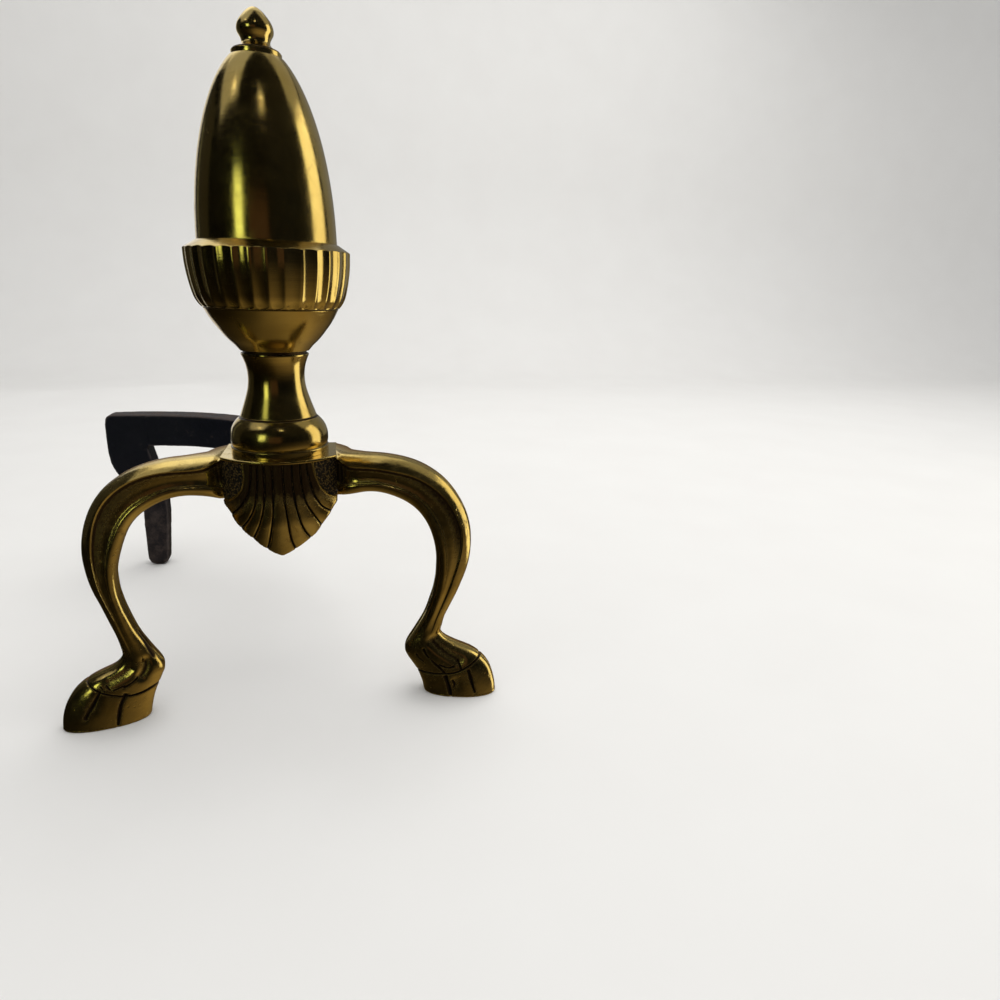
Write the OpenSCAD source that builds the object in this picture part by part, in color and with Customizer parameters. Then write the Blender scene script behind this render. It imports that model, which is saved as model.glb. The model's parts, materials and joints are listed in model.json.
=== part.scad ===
// Brass andiron on two cabriole front legs with hoof feet and a scallop-shell
// drop, with a turned post (ball, waisted neck, fluted cup, tapering acorn body
// and tip) drawn down by one steel tie rod, and a curved cast-iron log bar.
// Millimetres. Origin at the centre of the footprint on the hearth, +Z up.
// The front, with the shell, faces -Y. The log bar sweeps to -X.

/* [Front] */
// height of the flat top of the plinth above the hearth, mm
plinth_top = 157; // [130:1:190]
// half width of the plinth, where the legs spring from it, mm
plinth_half = 32; // [26:1:40]
// radius of the bowed front edge of the plinth, mm
bow_r = 41.6; // [36:0.2:60]
// thickness of the top plate of the plinth, mm
plate_t = 6; // [4:0.5:8]
// wall thickness of the cast shell and skirt, mm
wall_t = 4.6; // [3:0.2:7]
// angle of each front leg forward of the sideways line, degrees
leg_angle = 12; // [4:1:24]
// depth of a front leg from front to back at the knee, mm
leg_depth = 20; // [14:1:28]

/* [Post] */
// radius of the squashed ball at the foot of the post, mm
ball_r = 27.8; // [22:0.2:34]
// radius of the narrowest part of the neck, mm
neck_r = 15.8; // [12:0.2:20]
// greatest radius of the fluted cup, mm
cup_r = 44; // [38:0.5:52]
// number of flutes round the cup
flute_count = 32; // [24:1:48]
// greatest radius of the acorn body, mm
acorn_r = 36.9; // [32:0.1:40]
// overall height to the top of the tip, mm
total_h = 385; // [380:1:390]
// diameter of the tie rod, mm
rod_d = 8; // [6:0.5:10]

/* [Log bar] */
// height of the top of the log bar above the hearth, mm
bar_top = 140; // [130:1:148]
// height of the section of the log bar, mm
bar_h = 27; // [20:1:30]
// width of the section of the log bar, mm
bar_w = 22; // [16:1:26]
// length of the straight run behind the post, mm
bar_run = 95; // [60:1:140]
// outer radius of the curved run, mm
bar_bend = 140; // [110:1:170]

/* [Finish] */
// smoothness of turned faces
smooth = 96; // [48:12:144]

/* [Hidden] */
$fn = smooth;

brass = [0.78, 0.60, 0.22];
dark_iron = [0.13, 0.11, 0.11];
steel = [0.55, 0.55, 0.56];

// the post stands at the front of the footprint, so everything is shifted to
// put the origin at the middle of the footprint
post_x = 16.5;
post_y = -95.5;

rod_hole = rod_d + 1;
plate_z = plinth_top - plate_t;
root_z = plinth_top - 24;
bow_y = bow_r - 32;
lip_t = 1.6;
lug_top = bar_top - 1.5;
lug_t = 12;
lug_z = lug_top - lug_t;
tenon_d = 11;
tenon_y = -5;
tenon_z = plinth_top - 14;
washer_t = 2;
lock_t = 2;
nut_t = 7;
neck_top = 214;
cup_ledge = 262;
cup_top = 273.2;
body_top = 362;

function lerp(a, b, t) = a + (b - a) * t;

// Smooth curve through a list of [radius, height] points, for turned profiles.
function cat1(p0, p1, p2, p3, t) =
    0.5 * (2 * p1 + (p2 - p0) * t + (2 * p0 - 5 * p1 + 4 * p2 - p3) * t * t
         + (3 * p1 - p0 - 3 * p2 + p3) * t * t * t);
function smooth_line(p, n) = [
    for (i = [0 : len(p) - 2]) for (k = [0 : n - 1])
        cat1(p[max(i - 1, 0)], p[i], p[i + 1], p[min(i + 2, len(p) - 1)], k / n),
    p[len(p) - 1]];

// ---- plinth -------------------------------------------------------------

// radius of the shell face at a height: upright above, sloping in below
function shell_r(z) = bow_r - 0.6
    - (z < 118 ? 0.811 + 0.27 * (118 - z) : z < 124 ? pow(124 - z, 2) / 44.4 : 0);
// point on the shell face
function on_shell(x, z) = [x, bow_y - sqrt(pow(shell_r(z), 2) - x * x), z];

// outline of the scallop shell, each half from the top of its crease to the tip,
// as [x, z]; the carving is not quite even from side to side
shell_right = [[19.6, 155.4], [20.3, 150.3], [21.4, 145.3], [22.9, 140.8], [25.5, 136.6],
               [29, 133.3], [32, 131.6], [32, 129.0], [30.2, 126.7], [28.4, 123.7],
               [24.8, 119.3], [21.7, 114.9], [18.7, 111.2], [12.9, 106.9], [7.0, 102.7],
               [2.9, 100.3]];
shell_left = [[-19.4, 155.4], [-19.2, 146], [-20.9, 140.1], [-24.2, 136.1], [-28.4, 132.9],
              [-32, 131.6], [-32, 129.6], [-29.3, 126.6], [-27.7, 123.5], [-25.6, 120],
              [-23, 116.3], [-18.8, 112.1], [-14.5, 108.3], [-11.4, 105.5], [-7.1, 102.3],
              [-2.9, 99.9]];
shell_tip = [-0.4, 98.9];
// grooves between the lobes, as [x, z] down each groove
shell_grooves = [
    [[2.9, 155.2], [2.9, 146], [3.5, 128.6], [4.8, 113], [7.2, 102.8]],
    [[7.9, 155.2], [7.8, 143], [8.9, 131.7], [12, 117.5], [15.9, 109.2]],
    [[12.2, 155.2], [12.5, 145], [14.8, 131.5], [18.8, 123.5], [22.5, 116.2]],
    [[15.4, 155.2], [16.3, 148], [19.1, 136.2], [22.9, 128.7], [28.6, 123.8]],
    [[-2.75, 155.2], [-2.8, 146], [-3.7, 125.8], [-6.1, 113], [-9.0, 103.6]],
    [[-7.35, 155.2], [-7.3, 143.5], [-8.3, 131.8], [-12, 118.8], [-16.4, 110]],
    [[-10.8, 155.2], [-11.3, 143.4], [-13.3, 131.5], [-17, 123.4], [-22.8, 116.2]],
    [[-14.1, 155.2], [-15.3, 143.1], [-18.5, 134.6], [-21.1, 130.6], [-28, 123.9]]];

module plate_outline(r) {
    intersection() {
        translate([0, bow_y]) circle(r);
        translate([-plinth_half, -50]) square([2 * plinth_half, 68]);
    }
}

module rod_between(a, b, r) {
    d = b - a;
    l = norm(d);
    translate(a)
        rotate([0, acos(d[2] / l), atan2(d[1], d[0])])
            translate([0, 0, -0.2]) cylinder(r = r, h = l + 0.4, $fn = 24);
}

module shell_drop() {
    top = plinth_top - lip_t;
    difference() {
        intersection() {
            translate([0, bow_y, 0])
                rotate_extrude()
                    polygon(concat(
                        [for (z = [97 : 3 : 124]) [shell_r(z), z]],
                        [[shell_r(top), top], [shell_r(top) - wall_t, top],
                         [shell_r(top) - wall_t, 124]],
                        [for (z = [121 : -3 : 97]) [shell_r(z) - wall_t, z]]));
            rotate([90, 0, 0])
                linear_extrude(60)
                    polygon(concat(shell_right, [shell_tip],
                        [for (i = [len(shell_left) - 1 : -1 : 0]) shell_left[i]]));
        }
        for (g = shell_grooves) for (i = [0 : len(g) - 2])
            rod_between(on_shell(g[i][0], g[i][1]),
                        on_shell(g[i + 1][0], g[i + 1][1]), 0.9);
    }
}

module plinth() {
    color(brass) difference() {
        union() {
            // flat top plate with a thin bowed lip in front
            translate([0, 0, plate_z]) linear_extrude(plate_t) plate_outline(bow_r - 1.4);
            translate([0, 0, plinth_top - lip_t]) linear_extrude(lip_t) plate_outline(bow_r);
            // skirt behind the side panels
            translate([0, 0, root_z])
                intersection() {
                    difference() {
                        translate([0, bow_y, 0]) cylinder(r = bow_r - 1.4, h = 19);
                        translate([0, bow_y, -1]) cylinder(r = bow_r - 1.4 - wall_t, h = 21);
                    }
                    translate([-plinth_half, -40, 0]) cube([2 * plinth_half, 40, 19]);
                }
            // cheeks that the legs are joined to
            for (m = [0, 1]) mirror([m, 0, 0])
                translate([plinth_half - 6, -12.8, root_z]) cube([6, 30.8, 19]);
            // boss over the eye of the log bar
            translate([0, 0, lug_top]) cylinder(r = 13, h = plate_z - lug_top + 1);
            // ribs either side of the bar, which stop it turning on the rod
            for (m = [0, 1]) mirror([m, 0, 0])
                translate([bar_w / 2 + 0.5, 6, root_z]) cube([5, 12, 19]);
            shell_drop();
        }
        translate([0, 0, lug_top - 1]) cylinder(d = rod_hole, h = 30);
        for (m = [0, 1]) mirror([m, 0, 0])
            leg_tenon(tenon_d + 0.1, plinth_half - 8);
    }
}

// ---- legs ---------------------------------------------------------------

// stations down the leg, in its own upright plane, s outward from the post:
// [outer s, outer z, inner s, inner z, squareness, depth to the front and to the
// back, both over half of leg_depth]. The two castings were fettled by hand and
// differ a little.
leg_stations_right = [
    [36.0, 157.0, 36.0, 131.4, 5.5, 0.65, 2.25],
    [39.5, 157.0, 39.0, 131.9, 4.0, 0.90, 1.55],
    [43.5, 157.0, 43.0, 132.7, 3.2, 1.03, 1.28],
    [52.0, 156.7, 51.5, 134.5, 2.8, 1.05, 1.10],
    [62.0, 156.4, 60.5, 134.2, 2.6, 1.05, 1.06],
    [72.1, 154.9, 67.3, 132.2, 2.5, 1.04, 1.04],
    [81.1, 152.4, 73.9, 129.4, 2.5, 1.03, 1.02],
    [89.5, 148.3, 79.9, 125.1, 2.5, 1.01, 1.00],
    [97.1, 142.6, 84.6, 119.8, 2.5, 1.00, 1.00],
    [103.5, 135.2, 88.1, 113.5, 2.5, 1.00, 1.00],
    [108.5, 126.9, 90.5, 106.4, 2.5, 1.00, 1.00],
    [112.0, 117.6, 91.9, 99.3, 2.5, 0.99, 0.99],
    [113.7, 107.6, 92.4, 92.7, 2.5, 0.97, 0.97],
    [113.6, 98.3, 92.3, 87.0, 2.5, 0.95, 0.95],
    [112.4, 89.3, 92.0, 82.0, 2.5, 0.92, 0.92],
    [109.7, 80.4, 91.2, 76.6, 2.4, 0.88, 0.88],
    [106.6, 72.1, 90.0, 70.8, 2.4, 0.84, 0.84],
    [103.2, 64.5, 88.0, 64.5, 2.4, 0.79, 0.79],
    [99.9, 57.5, 85.8, 57.5, 2.3, 0.74, 0.74],
    [97.4, 51.5, 82.8, 51.0, 2.3, 0.70, 0.70],
    [96.3, 46.5, 79.3, 45.0, 2.3, 0.69, 0.69],
    [95.2, 42.2, 76.0, 39.4, 2.2, 0.72, 0.72],
    [97.0, 38.7, 73.0, 33.8, 2.2, 0.78, 0.78],
    [102.1, 35.5, 72.5, 29.9, 2.2, 0.84, 0.84],
    [109.6, 32.3, 73.6, 25.8, 2.2, 0.90, 0.90],
    [117.0, 28.9, 76.1, 21.7, 2.2, 0.96, 0.96],
    [122.8, 24.1, 78.7, 17.7, 2.2, 1.00, 1.00],
    [126.8, 18.6, 81.0, 13.6, 2.2, 1.04, 1.04],
    [129.3, 12.0, 82.8, 9.0, 2.2, 1.07, 1.07],
    [130.9, 5.4, 84.2, 4.2, 2.2, 1.09, 1.09],
    [131.4, 0.0, 84.8, 0.0, 2.2, 1.10, 1.10]];
leg_stations_left = [
    [36.0, 157.0, 36.0, 131.4, 5.5, 0.65, 2.25],
    [39.5, 157.0, 39.0, 132.6, 4.0, 0.90, 1.55],
    [43.5, 157.0, 43.0, 133.8, 3.2, 1.03, 1.28],
    [52.0, 156.5, 51.5, 135.2, 2.8, 1.05, 1.10],
    [62.0, 156.0, 60.5, 134.7, 2.6, 1.05, 1.06],
    [71.9, 154.1, 67.4, 132.5, 2.5, 1.04, 1.04],
    [80.6, 151.1, 73.9, 129.2, 2.5, 1.03, 1.02],
    [88.8, 146.4, 79.7, 124.6, 2.5, 1.01, 1.00],
    [95.9, 140.4, 84.1, 118.7, 2.5, 1.00, 1.00],
    [101.6, 132.6, 87.1, 112.2, 2.5, 1.00, 1.00],
    [105.6, 123.6, 89.6, 105.4, 2.5, 1.00, 1.00],
    [108.1, 114.1, 91.5, 99.0, 2.5, 0.99, 0.99],
    [109.1, 104.4, 92.6, 92.9, 2.5, 0.97, 0.97],
    [108.6, 95.6, 92.7, 87.2, 2.5, 0.95, 0.95],
    [107.4, 87.5, 92.5, 82.2, 2.5, 0.92, 0.92],
    [105.1, 79.5, 91.6, 76.7, 2.4, 0.88, 0.88],
    [102.8, 71.8, 90.3, 70.8, 2.4, 0.84, 0.84],
    [100.7, 64.5, 88.5, 64.5, 2.4, 0.79, 0.79],
    [98.7, 57.5, 86.4, 57.5, 2.3, 0.74, 0.74],
    [97.2, 51.5, 83.6, 51.0, 2.3, 0.70, 0.70],
    [96.4, 46.5, 80.6, 45.1, 2.3, 0.69, 0.69],
    [96.0, 42.4, 77.6, 39.6, 2.2, 0.72, 0.72],
    [97.1, 38.7, 74.8, 34.1, 2.2, 0.78, 0.78],
    [100.6, 35.2, 74.5, 30.2, 2.2, 0.84, 0.84],
    [108.4, 32.1, 75.8, 26.2, 2.2, 0.90, 0.90],
    [115.8, 28.6, 77.7, 22.0, 2.2, 0.96, 0.96],
    [121.9, 24.0, 79.7, 17.8, 2.2, 1.00, 1.00],
    [126.1, 18.5, 81.4, 13.6, 2.2, 1.04, 1.04],
    [129.3, 12.0, 82.8, 9.0, 2.2, 1.07, 1.07],
    [130.9, 5.4, 84.0, 4.2, 2.2, 1.09, 1.09],
    [131.4, 0.0, 84.8, 0.0, 2.2, 1.10, 1.10]];
leg_sides = 20;

function sgn_pow(v, e) = (v < 0 ? -1 : 1) * pow(abs(v), 2 / e);
// one ring about a leg: front half rounded, back half flat, with crisp corners
// along the top
function leg_ring(q) = [
    for (i = [0 : leg_sides - 1])
        let (a = 360 * i / leg_sides,
             e = q[0] < 75 && q[1] > 150 ? 7 : 4,
             u = sgn_pow(cos(a), sin(a) > 0 ? max(e, q[4]) : q[4]),
             v = sin(a) > 0 ? 0.85 * q[6] * sgn_pow(sin(a), e)
                            : q[5] * sgn_pow(sin(a), q[4]),
             s = lerp(q[2], q[0], (u + 1) / 2),
             z = lerp(q[3], q[1], (u + 1) / 2),
             w = v * leg_depth / 2)
        [s * cos(leg_angle) + w * sin(leg_angle),
         -4 - s * sin(leg_angle) + w * cos(leg_angle), z]];
// the ring where the leg meets the flat cheek of the plinth; the underside flares
// down to run on into the edge of the shell
root_ring = [
    for (i = [0 : leg_sides - 1])
        let (a = 360 * i / leg_sides)
        [plinth_half, 0.3 + 17.1 * sgn_pow(sin(a), 7),
         plinth_top - 13.8 + 13.8 * sgn_pow(cos(a), 7)]];

module leg(stations) {
    rings = concat([root_ring], [for (q = stations) leg_ring(q)]);
    n = leg_sides;
    m = len(rings);
    pts = [for (r = rings) each r];
    faces = concat(
        [[for (i = [n - 1 : -1 : 0]) i]],
        [for (k = [0 : m - 2]) for (i = [0 : n - 1])
            let (j = (i + 1) % n)
            each [[k * n + i, (k + 1) * n + j, (k + 1) * n + i],
                  [k * n + i, k * n + j, (k + 1) * n + j]]],
        [[for (i = [0 : n - 1]) (m - 1) * n + i]]);
    polyhedron(points = pts, faces = faces, convexity = 6);
}

// round tenon on the root, let into the cheek and brazed there
module leg_tenon(d, x0) {
    translate([x0, tenon_y, tenon_z]) rotate([0, 90, 0])
        cylinder(d = d, h = plinth_half + 1 - x0);
}

module leg_right() {
    color(brass) { leg(leg_stations_right); leg_tenon(tenon_d, plinth_half - 6); }
}
module leg_left() {
    color(brass) mirror([1, 0, 0]) {
        leg(leg_stations_left);
        leg_tenon(tenon_d, plinth_half - 6);
    }
}

// ---- post ---------------------------------------------------------------

// squashed ball on its flange, waisted neck and lip
ball_line = [[ball_r - 1.0, 161.1], [ball_r - 0.3, 162.6], [ball_r, 165.4],
             [ball_r - 0.4, 169], [ball_r - 1.9, 173], [22.4, 177.0]];
neck_line = [[21.2, 178.4], [20.2, 182.0], [18.5, 187], [16.6, 193.4],
             [neck_r, 200.4], [16.4, 206.4], [17.6, 210.4]];

module ball_neck() {
    color(brass) rotate_extrude()
        polygon(concat(
            [[rod_hole / 2, plinth_top], [ball_r, plinth_top], [ball_r, 160.7]],
            smooth_line(ball_line, 4),
            [[21.4, 177.4]],
            smooth_line(neck_line, 4),
            [[18.8, 212.8], [18.8, neck_top], [rod_hole / 2, neck_top]]));
}

// bowl, fluted collar and shoulder; hollow above its floor
bowl_line = [[19.3, 215.8], [21.6, 218.5], [24.6, 221.4], [28.1, 225.5],
             [31.2, 229.6], [33.5, 233.1], [36.3, 238.3]];
collar_line = [[38.0, 240.1], [39.5, 242.2], [40.7, 244.9], [41.5, 247.8],
               [42.3, 251.4], [43.0, 255.4], [43.6, 260.0], [43.9, 264.5],
               [cup_r, 268.7]];
// flutes are broad and shallow, run out at the shoulder and end round below
flute_r = 9.6;
flute_deep = 0.75;
// turned so that no flute stands square to the front
flute_turn = 4;

module cup_flute() {
    // straight upper run of a flute
    translate([cup_r - flute_deep + flute_r, 0, 256])
        cylinder(r = flute_r, h = 16, $fn = 32);
    // lower run, leaning in with the collar
    translate([cup_r - flute_deep - 0.35 + flute_r / cos(14), 0, 257]) rotate([0, 180 + 14, 0])
        translate([0, 0, -1]) cylinder(r = flute_r, h = 19.4, $fn = 32);
}

module fluted_cup() {
    color(brass) difference() {
        rotate_extrude()
            polygon(concat(
                [[rod_hole / 2, neck_top], [17.6, neck_top], [17.6, 215.6]],
                smooth_line(bowl_line, 4),
                [[36.7, 239.0]],
                collar_line,
                [[cup_r - 0.5, 269.3], [37.6, cup_top],
                 [acorn_r + 0.2, cup_top], [acorn_r + 0.2, cup_ledge],
                 [acorn_r - 3.6, cup_ledge], [acorn_r - 3.6, 250]],
                [[31.5, 238], [26, 230], [20, 224], [rod_hole / 2, 222]]));
        for (i = [0 : flute_count - 1])
            rotate([0, 0, (i + 0.5) * 360 / flute_count + flute_turn]) cup_flute();
    }
}

// hollow ovoid body: half an ellipse, closed by a boss at the top
body_mid = 270;
body_semi = 99;
function body_r(z, a, c) = z < body_mid ? a : a * sqrt(1 - pow((z - body_mid) / c, 2));

module acorn_body() {
    t = 3.2;
    color(brass) rotate_extrude()
        polygon(concat(
            [[acorn_r - 3.4, cup_ledge], [acorn_r, cup_ledge]],
            [for (z = [270 : 6 : 354]) [body_r(z, acorn_r, body_semi), z]],
            [[body_r(358, acorn_r, body_semi), 358],
             [body_r(body_top, acorn_r, body_semi), body_top],
             [rod_hole / 2, body_top], [rod_hole / 2, 349]],
            [for (z = [349 : -6 : 271]) [body_r(z, acorn_r - t, body_semi - 10), z]]));
}

tip_line = [[11.6, 365.4], [9.0, 366.6], [7.2, 368.6], [7.6, 370.6],
            [9.0, 373.2], [8.8, 376.4], [6.6, 380], [3.2, 383.4]];

module top_tip() {
    color(brass) rotate_extrude()
        polygon(concat(
            [[rod_d / 2, body_top], [12.6, body_top], [12.6, 364.6]],
            smooth_line(tip_line, 4),
            [[0, total_h], [0, 375], [rod_d / 2, 375]]));
}

// ---- tie rod and its fastenings ------------------------------------------

module tie_rod() {
    color(steel) translate([0, 0, 113]) cylinder(d = rod_d, h = 375 - 113);
}

module flat_washer() {
    color(steel) translate([0, 0, lug_z - washer_t]) difference() {
        cylinder(d = 21, h = washer_t);
        translate([0, 0, -1]) cylinder(d = rod_d + 0.6, h = washer_t + 2);
    }
}

module lock_washer() {
    color(steel) translate([0, 0, lug_z - washer_t - lock_t]) difference() {
        cylinder(d = 14.8, h = lock_t);
        translate([0, 0, -1]) cylinder(d = rod_d + 0.6, h = lock_t + 2);
        translate([3, -0.8, -1]) cube([8, 1.6, lock_t + 2]);
    }
}

module hex_nut() {
    color(steel) translate([0, 0, lug_z - washer_t - lock_t - nut_t]) difference() {
        cylinder(d = 15, h = nut_t, $fn = 6);
        translate([0, 0, -1]) cylinder(d = rod_d, h = nut_t + 2);
    }
}

// ---- log bar --------------------------------------------------------------

bend_x = -(bar_bend - bar_w / 2);
bar_z = bar_top - bar_h;
// rear leg seen from the front, as [x, z]
rear_outline = [[-157, 140], [-160, 138.6], [-161.4, 136], [-161.8, 132],
                [-162, 112], [-161.4, 99], [-158.5, 90], [-152, 78],
                [-144.5, 66], [-141.6, 55], [-142.6, 7], [-140.8, 2.4],
                [-137, 0], [-130, 0], [-126.8, 2], [-125.2, 6], [-121, 48],
                [-121, 60], [-123, 78], [-127, 98], [-130.5, 113], [-128, 140]];
// rear leg seen from the side, as [y behind the bend centre, z]
rear_side = [[119, 140], [119, 104], [124, 60], [126, 3], [128, 0], [137, 0],
             [140.5, 4], [140.5, 140]];

module bar_ring(h) {
    difference() {
        cylinder(r = bar_bend, h = h);
        translate([0, 0, -1]) cylinder(r = bar_bend - bar_w, h = h + 2);
    }
}

module log_bar() {
    color(dark_iron) difference() {
        union() {
            // rounded eye and straight run
            translate([0, 0, lug_z]) cylinder(d = bar_w, h = lug_t);
            translate([-bar_w / 2, 0, lug_z]) cube([bar_w, 20, lug_t]);
            translate([-bar_w / 2, 18, bar_z]) cube([bar_w, bar_run - 18, bar_h]);
            // quarter bend to the side
            translate([bend_x, bar_run, bar_z]) intersection() {
                bar_ring(bar_h);
                translate([0, 0, -1]) cube([bar_bend + 1, bar_bend + 1, bar_h + 2]);
            }
            // end of the bend with the rear leg turned down
            intersection() {
                translate([bend_x, bar_run, 0]) bar_ring(bar_top);
                translate([0, bar_run + bar_bend, 0]) rotate([90, 0, 0])
                    linear_extrude(60) polygon(rear_outline);
                translate([-90, bar_run, 0]) rotate([90, 0, -90])
                    linear_extrude(100) polygon([for (q = rear_side) [-q[0], q[1]]]);
            }
        }
        translate([0, 0, lug_z - 1]) cylinder(d = rod_hole, h = lug_t + 2);
    }
}

translate([post_x, post_y, 0]) {
    plinth();
    leg_right();
    leg_left();
    ball_neck();
    fluted_cup();
    acorn_body();
    top_tip();
    tie_rod();
    log_bar();
    flat_washer();
    lock_washer();
    hex_nut();
}
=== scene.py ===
import json
import math

import bmesh
import bpy
import numpy as np
from mathutils import Matrix, Vector

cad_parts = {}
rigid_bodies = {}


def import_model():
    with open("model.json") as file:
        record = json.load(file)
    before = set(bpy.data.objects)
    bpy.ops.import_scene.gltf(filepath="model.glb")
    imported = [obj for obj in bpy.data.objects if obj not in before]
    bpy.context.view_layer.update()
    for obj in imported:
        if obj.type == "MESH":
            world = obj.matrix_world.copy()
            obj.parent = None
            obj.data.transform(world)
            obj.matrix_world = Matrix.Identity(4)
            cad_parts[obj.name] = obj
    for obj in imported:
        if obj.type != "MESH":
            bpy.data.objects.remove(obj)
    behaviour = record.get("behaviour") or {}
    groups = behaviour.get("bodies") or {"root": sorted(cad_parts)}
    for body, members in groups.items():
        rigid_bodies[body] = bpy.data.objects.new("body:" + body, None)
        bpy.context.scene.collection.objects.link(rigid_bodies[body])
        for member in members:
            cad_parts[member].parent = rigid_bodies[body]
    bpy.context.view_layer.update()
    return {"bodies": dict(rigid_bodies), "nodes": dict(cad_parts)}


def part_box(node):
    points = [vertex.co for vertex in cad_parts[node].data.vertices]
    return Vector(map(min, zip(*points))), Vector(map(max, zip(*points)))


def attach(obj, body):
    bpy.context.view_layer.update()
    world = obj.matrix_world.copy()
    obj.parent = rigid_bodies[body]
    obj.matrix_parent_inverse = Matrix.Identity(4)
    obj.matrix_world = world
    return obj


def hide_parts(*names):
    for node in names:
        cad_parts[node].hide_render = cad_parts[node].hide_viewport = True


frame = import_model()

# Everything below is worked out about the axis of the post, in millimetres: x to
# the right, y to the back, z up. POST puts it into the frame of the CAD.
POST = np.array([16.5, -95.5, 0.0])
rng = np.random.default_rng(11)


# ---------------------------------------------------------------- mesh helpers

def to_frame(points):
    return (np.asarray(points, float) + POST) / 1000.0


def new_object(name, verts, faces, materials, face_slots=None, attributes=None, smooth=True):
    """A mesh object from points in millimetres about the post."""
    mesh = bpy.data.meshes.new(name)
    mesh.from_pydata(to_frame(verts).tolist(), [], [list(map(int, f)) for f in faces])
    mesh.update()
    for m in materials:
        mesh.materials.append(m)
    if face_slots is not None:
        mesh.polygons.foreach_set("material_index", np.asarray(face_slots, np.int32))
    mesh.polygons.foreach_set("use_smooth", np.full(len(mesh.polygons), bool(smooth)))
    for key, values in (attributes or {}).items():
        a = mesh.attributes.new(key, "FLOAT", "POINT")
        a.data.foreach_set("value", np.asarray(values, np.float32))
    mesh.update()
    ob = bpy.data.objects.new(name, mesh)
    bpy.context.scene.collection.objects.link(ob)
    return ob


class Build:
    """Collects closed patches of one casting, with a value per point for each attribute."""

    def __init__(self):
        self.v, self.f, self.slot = [], [], []
        self.attr = {"dirt": [], "raw": []}

    def add(self, verts, faces, slot=0, dirt=0.0, raw=0.0):
        base = len(self.v)
        verts = np.asarray(verts, float)
        self.v.extend(verts.tolist())
        self.f.extend([[int(i) + base for i in f] for f in faces])
        if np.isscalar(slot):
            self.slot.extend([slot] * len(faces))
        else:
            self.slot.extend(list(slot))
        for key, value in (("dirt", dirt), ("raw", raw)):
            self.attr[key].extend(np.broadcast_to(value, (len(verts),)).tolist())

    def object(self, name, materials, smooth=True):
        return new_object(name, self.v, self.f, materials, self.slot, self.attr, smooth)


def natural_spline(knots, values, at):
    """Smooth curve (second derivatives join) through values at knots."""
    t = np.asarray(knots, float)
    y = np.asarray(values, float)
    shape = y.shape[1:]
    y = y.reshape(len(t), -1)
    n = len(t)
    h = np.diff(t)
    a = np.zeros((n, n))
    r = np.zeros((n, y.shape[1]))
    a[0, 0] = a[-1, -1] = 1.0
    for i in range(1, n - 1):
        a[i, i - 1], a[i, i], a[i, i + 1] = h[i - 1], 2 * (h[i - 1] + h[i]), h[i]
        r[i] = 6 * ((y[i + 1] - y[i]) / h[i] - (y[i] - y[i - 1]) / h[i - 1])
    m = np.linalg.solve(a, r)
    x = np.clip(np.asarray(at, float), t[0], t[-1])
    k = np.clip(np.searchsorted(t, x, side="right") - 1, 0, n - 2)
    d, e = (t[k + 1] - x)[:, None], (x - t[k])[:, None]
    hk = h[k][:, None]
    out = (m[k] * d ** 3 + m[k + 1] * e ** 3) / (6 * hk) \
        + (y[k] / hk - m[k] * hk / 6) * d + (y[k + 1] / hk - m[k + 1] * hk / 6) * e
    return out.reshape((len(x),) + shape)


def smooth_curve(points, step):
    """Points every `step` mm on the smooth curve through `points`."""
    p = np.asarray(points, float)
    t = np.concatenate([[0], np.cumsum(np.linalg.norm(np.diff(p, axis=0), axis=1))])
    n = max(2, int(math.ceil(t[-1] / step)) + 1)
    return natural_spline(t, p, np.linspace(0, t[-1], n))


def rounded(points, radii, step=0.12):
    """A profile of straight runs with its corners rounded."""
    p = [np.asarray(q, float) for q in points]
    out = [p[0]]
    for i in range(1, len(p) - 1):
        r = radii[i]
        if r <= 0:
            out.append(p[i])
            continue
        a, b = p[i - 1] - p[i], p[i + 1] - p[i]
        la, lb = np.linalg.norm(a), np.linalg.norm(b)
        a, b = a / la, b / lb
        angle = math.acos(float(np.clip(a @ b, -1, 1)))
        cut = min(r / math.tan(angle / 2), la * 0.48, lb * 0.48)
        for t in np.linspace(0, 1, 7):
            out.append((1 - t) ** 2 * (p[i] + a * cut) + 2 * t * (1 - t) * p[i] + t * t * (p[i] + b * cut))
    out.append(p[-1])
    return np.array(out)


def densify(line, longest):
    """Adds points so that no run of a profile is longer than `longest`."""
    out = [line[0]]
    for a, b in zip(line[:-1], line[1:]):
        n = max(1, int(math.ceil(np.linalg.norm(b - a) / longest)))
        out.extend(a + (b - a) * (k + 1) / n for k in range(n))
    return np.array(out)


def ring_faces(rows, cols, close_rows=False, flip=False):
    faces = []
    last = rows if close_rows else rows - 1
    for i in range(last):
        a, b = i * cols, ((i + 1) % rows) * cols
        for j in range(cols):
            k = (j + 1) % cols
            q = [a + j, a + k, b + k, b + j]
            faces.append(q[::-1] if flip else q)
    return faces


def sheet_faces(rows, cols, flip=False):
    faces = []
    for i in range(rows - 1):
        for j in range(cols - 1):
            q = [i * cols + j, i * cols + j + 1, (i + 1) * cols + j + 1, (i + 1) * cols + j]
            faces.append(q[::-1] if flip else q)
    return faces


def lathe(profile, segments, angles=None):
    """Closed body of revolution from a closed [r, z] profile."""
    profile = np.asarray(profile, float)
    a = np.linspace(0, 2 * math.pi, segments, endpoint=False) if angles is None else angles
    v = np.stack([
        profile[:, :1] * np.cos(a)[None, :],
        profile[:, :1] * np.sin(a)[None, :],
        np.repeat(profile[:, 1:2], len(a), axis=1)], axis=-1)
    return v


def fix_normals(ob):
    bm = bmesh.new()
    bm.from_mesh(ob.data)
    bmesh.ops.remove_doubles(bm, verts=bm.verts, dist=1e-7)
    bmesh.ops.recalc_face_normals(bm, faces=bm.faces)
    bm.to_mesh(ob.data)
    bm.free()
    ob.data.update()


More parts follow.
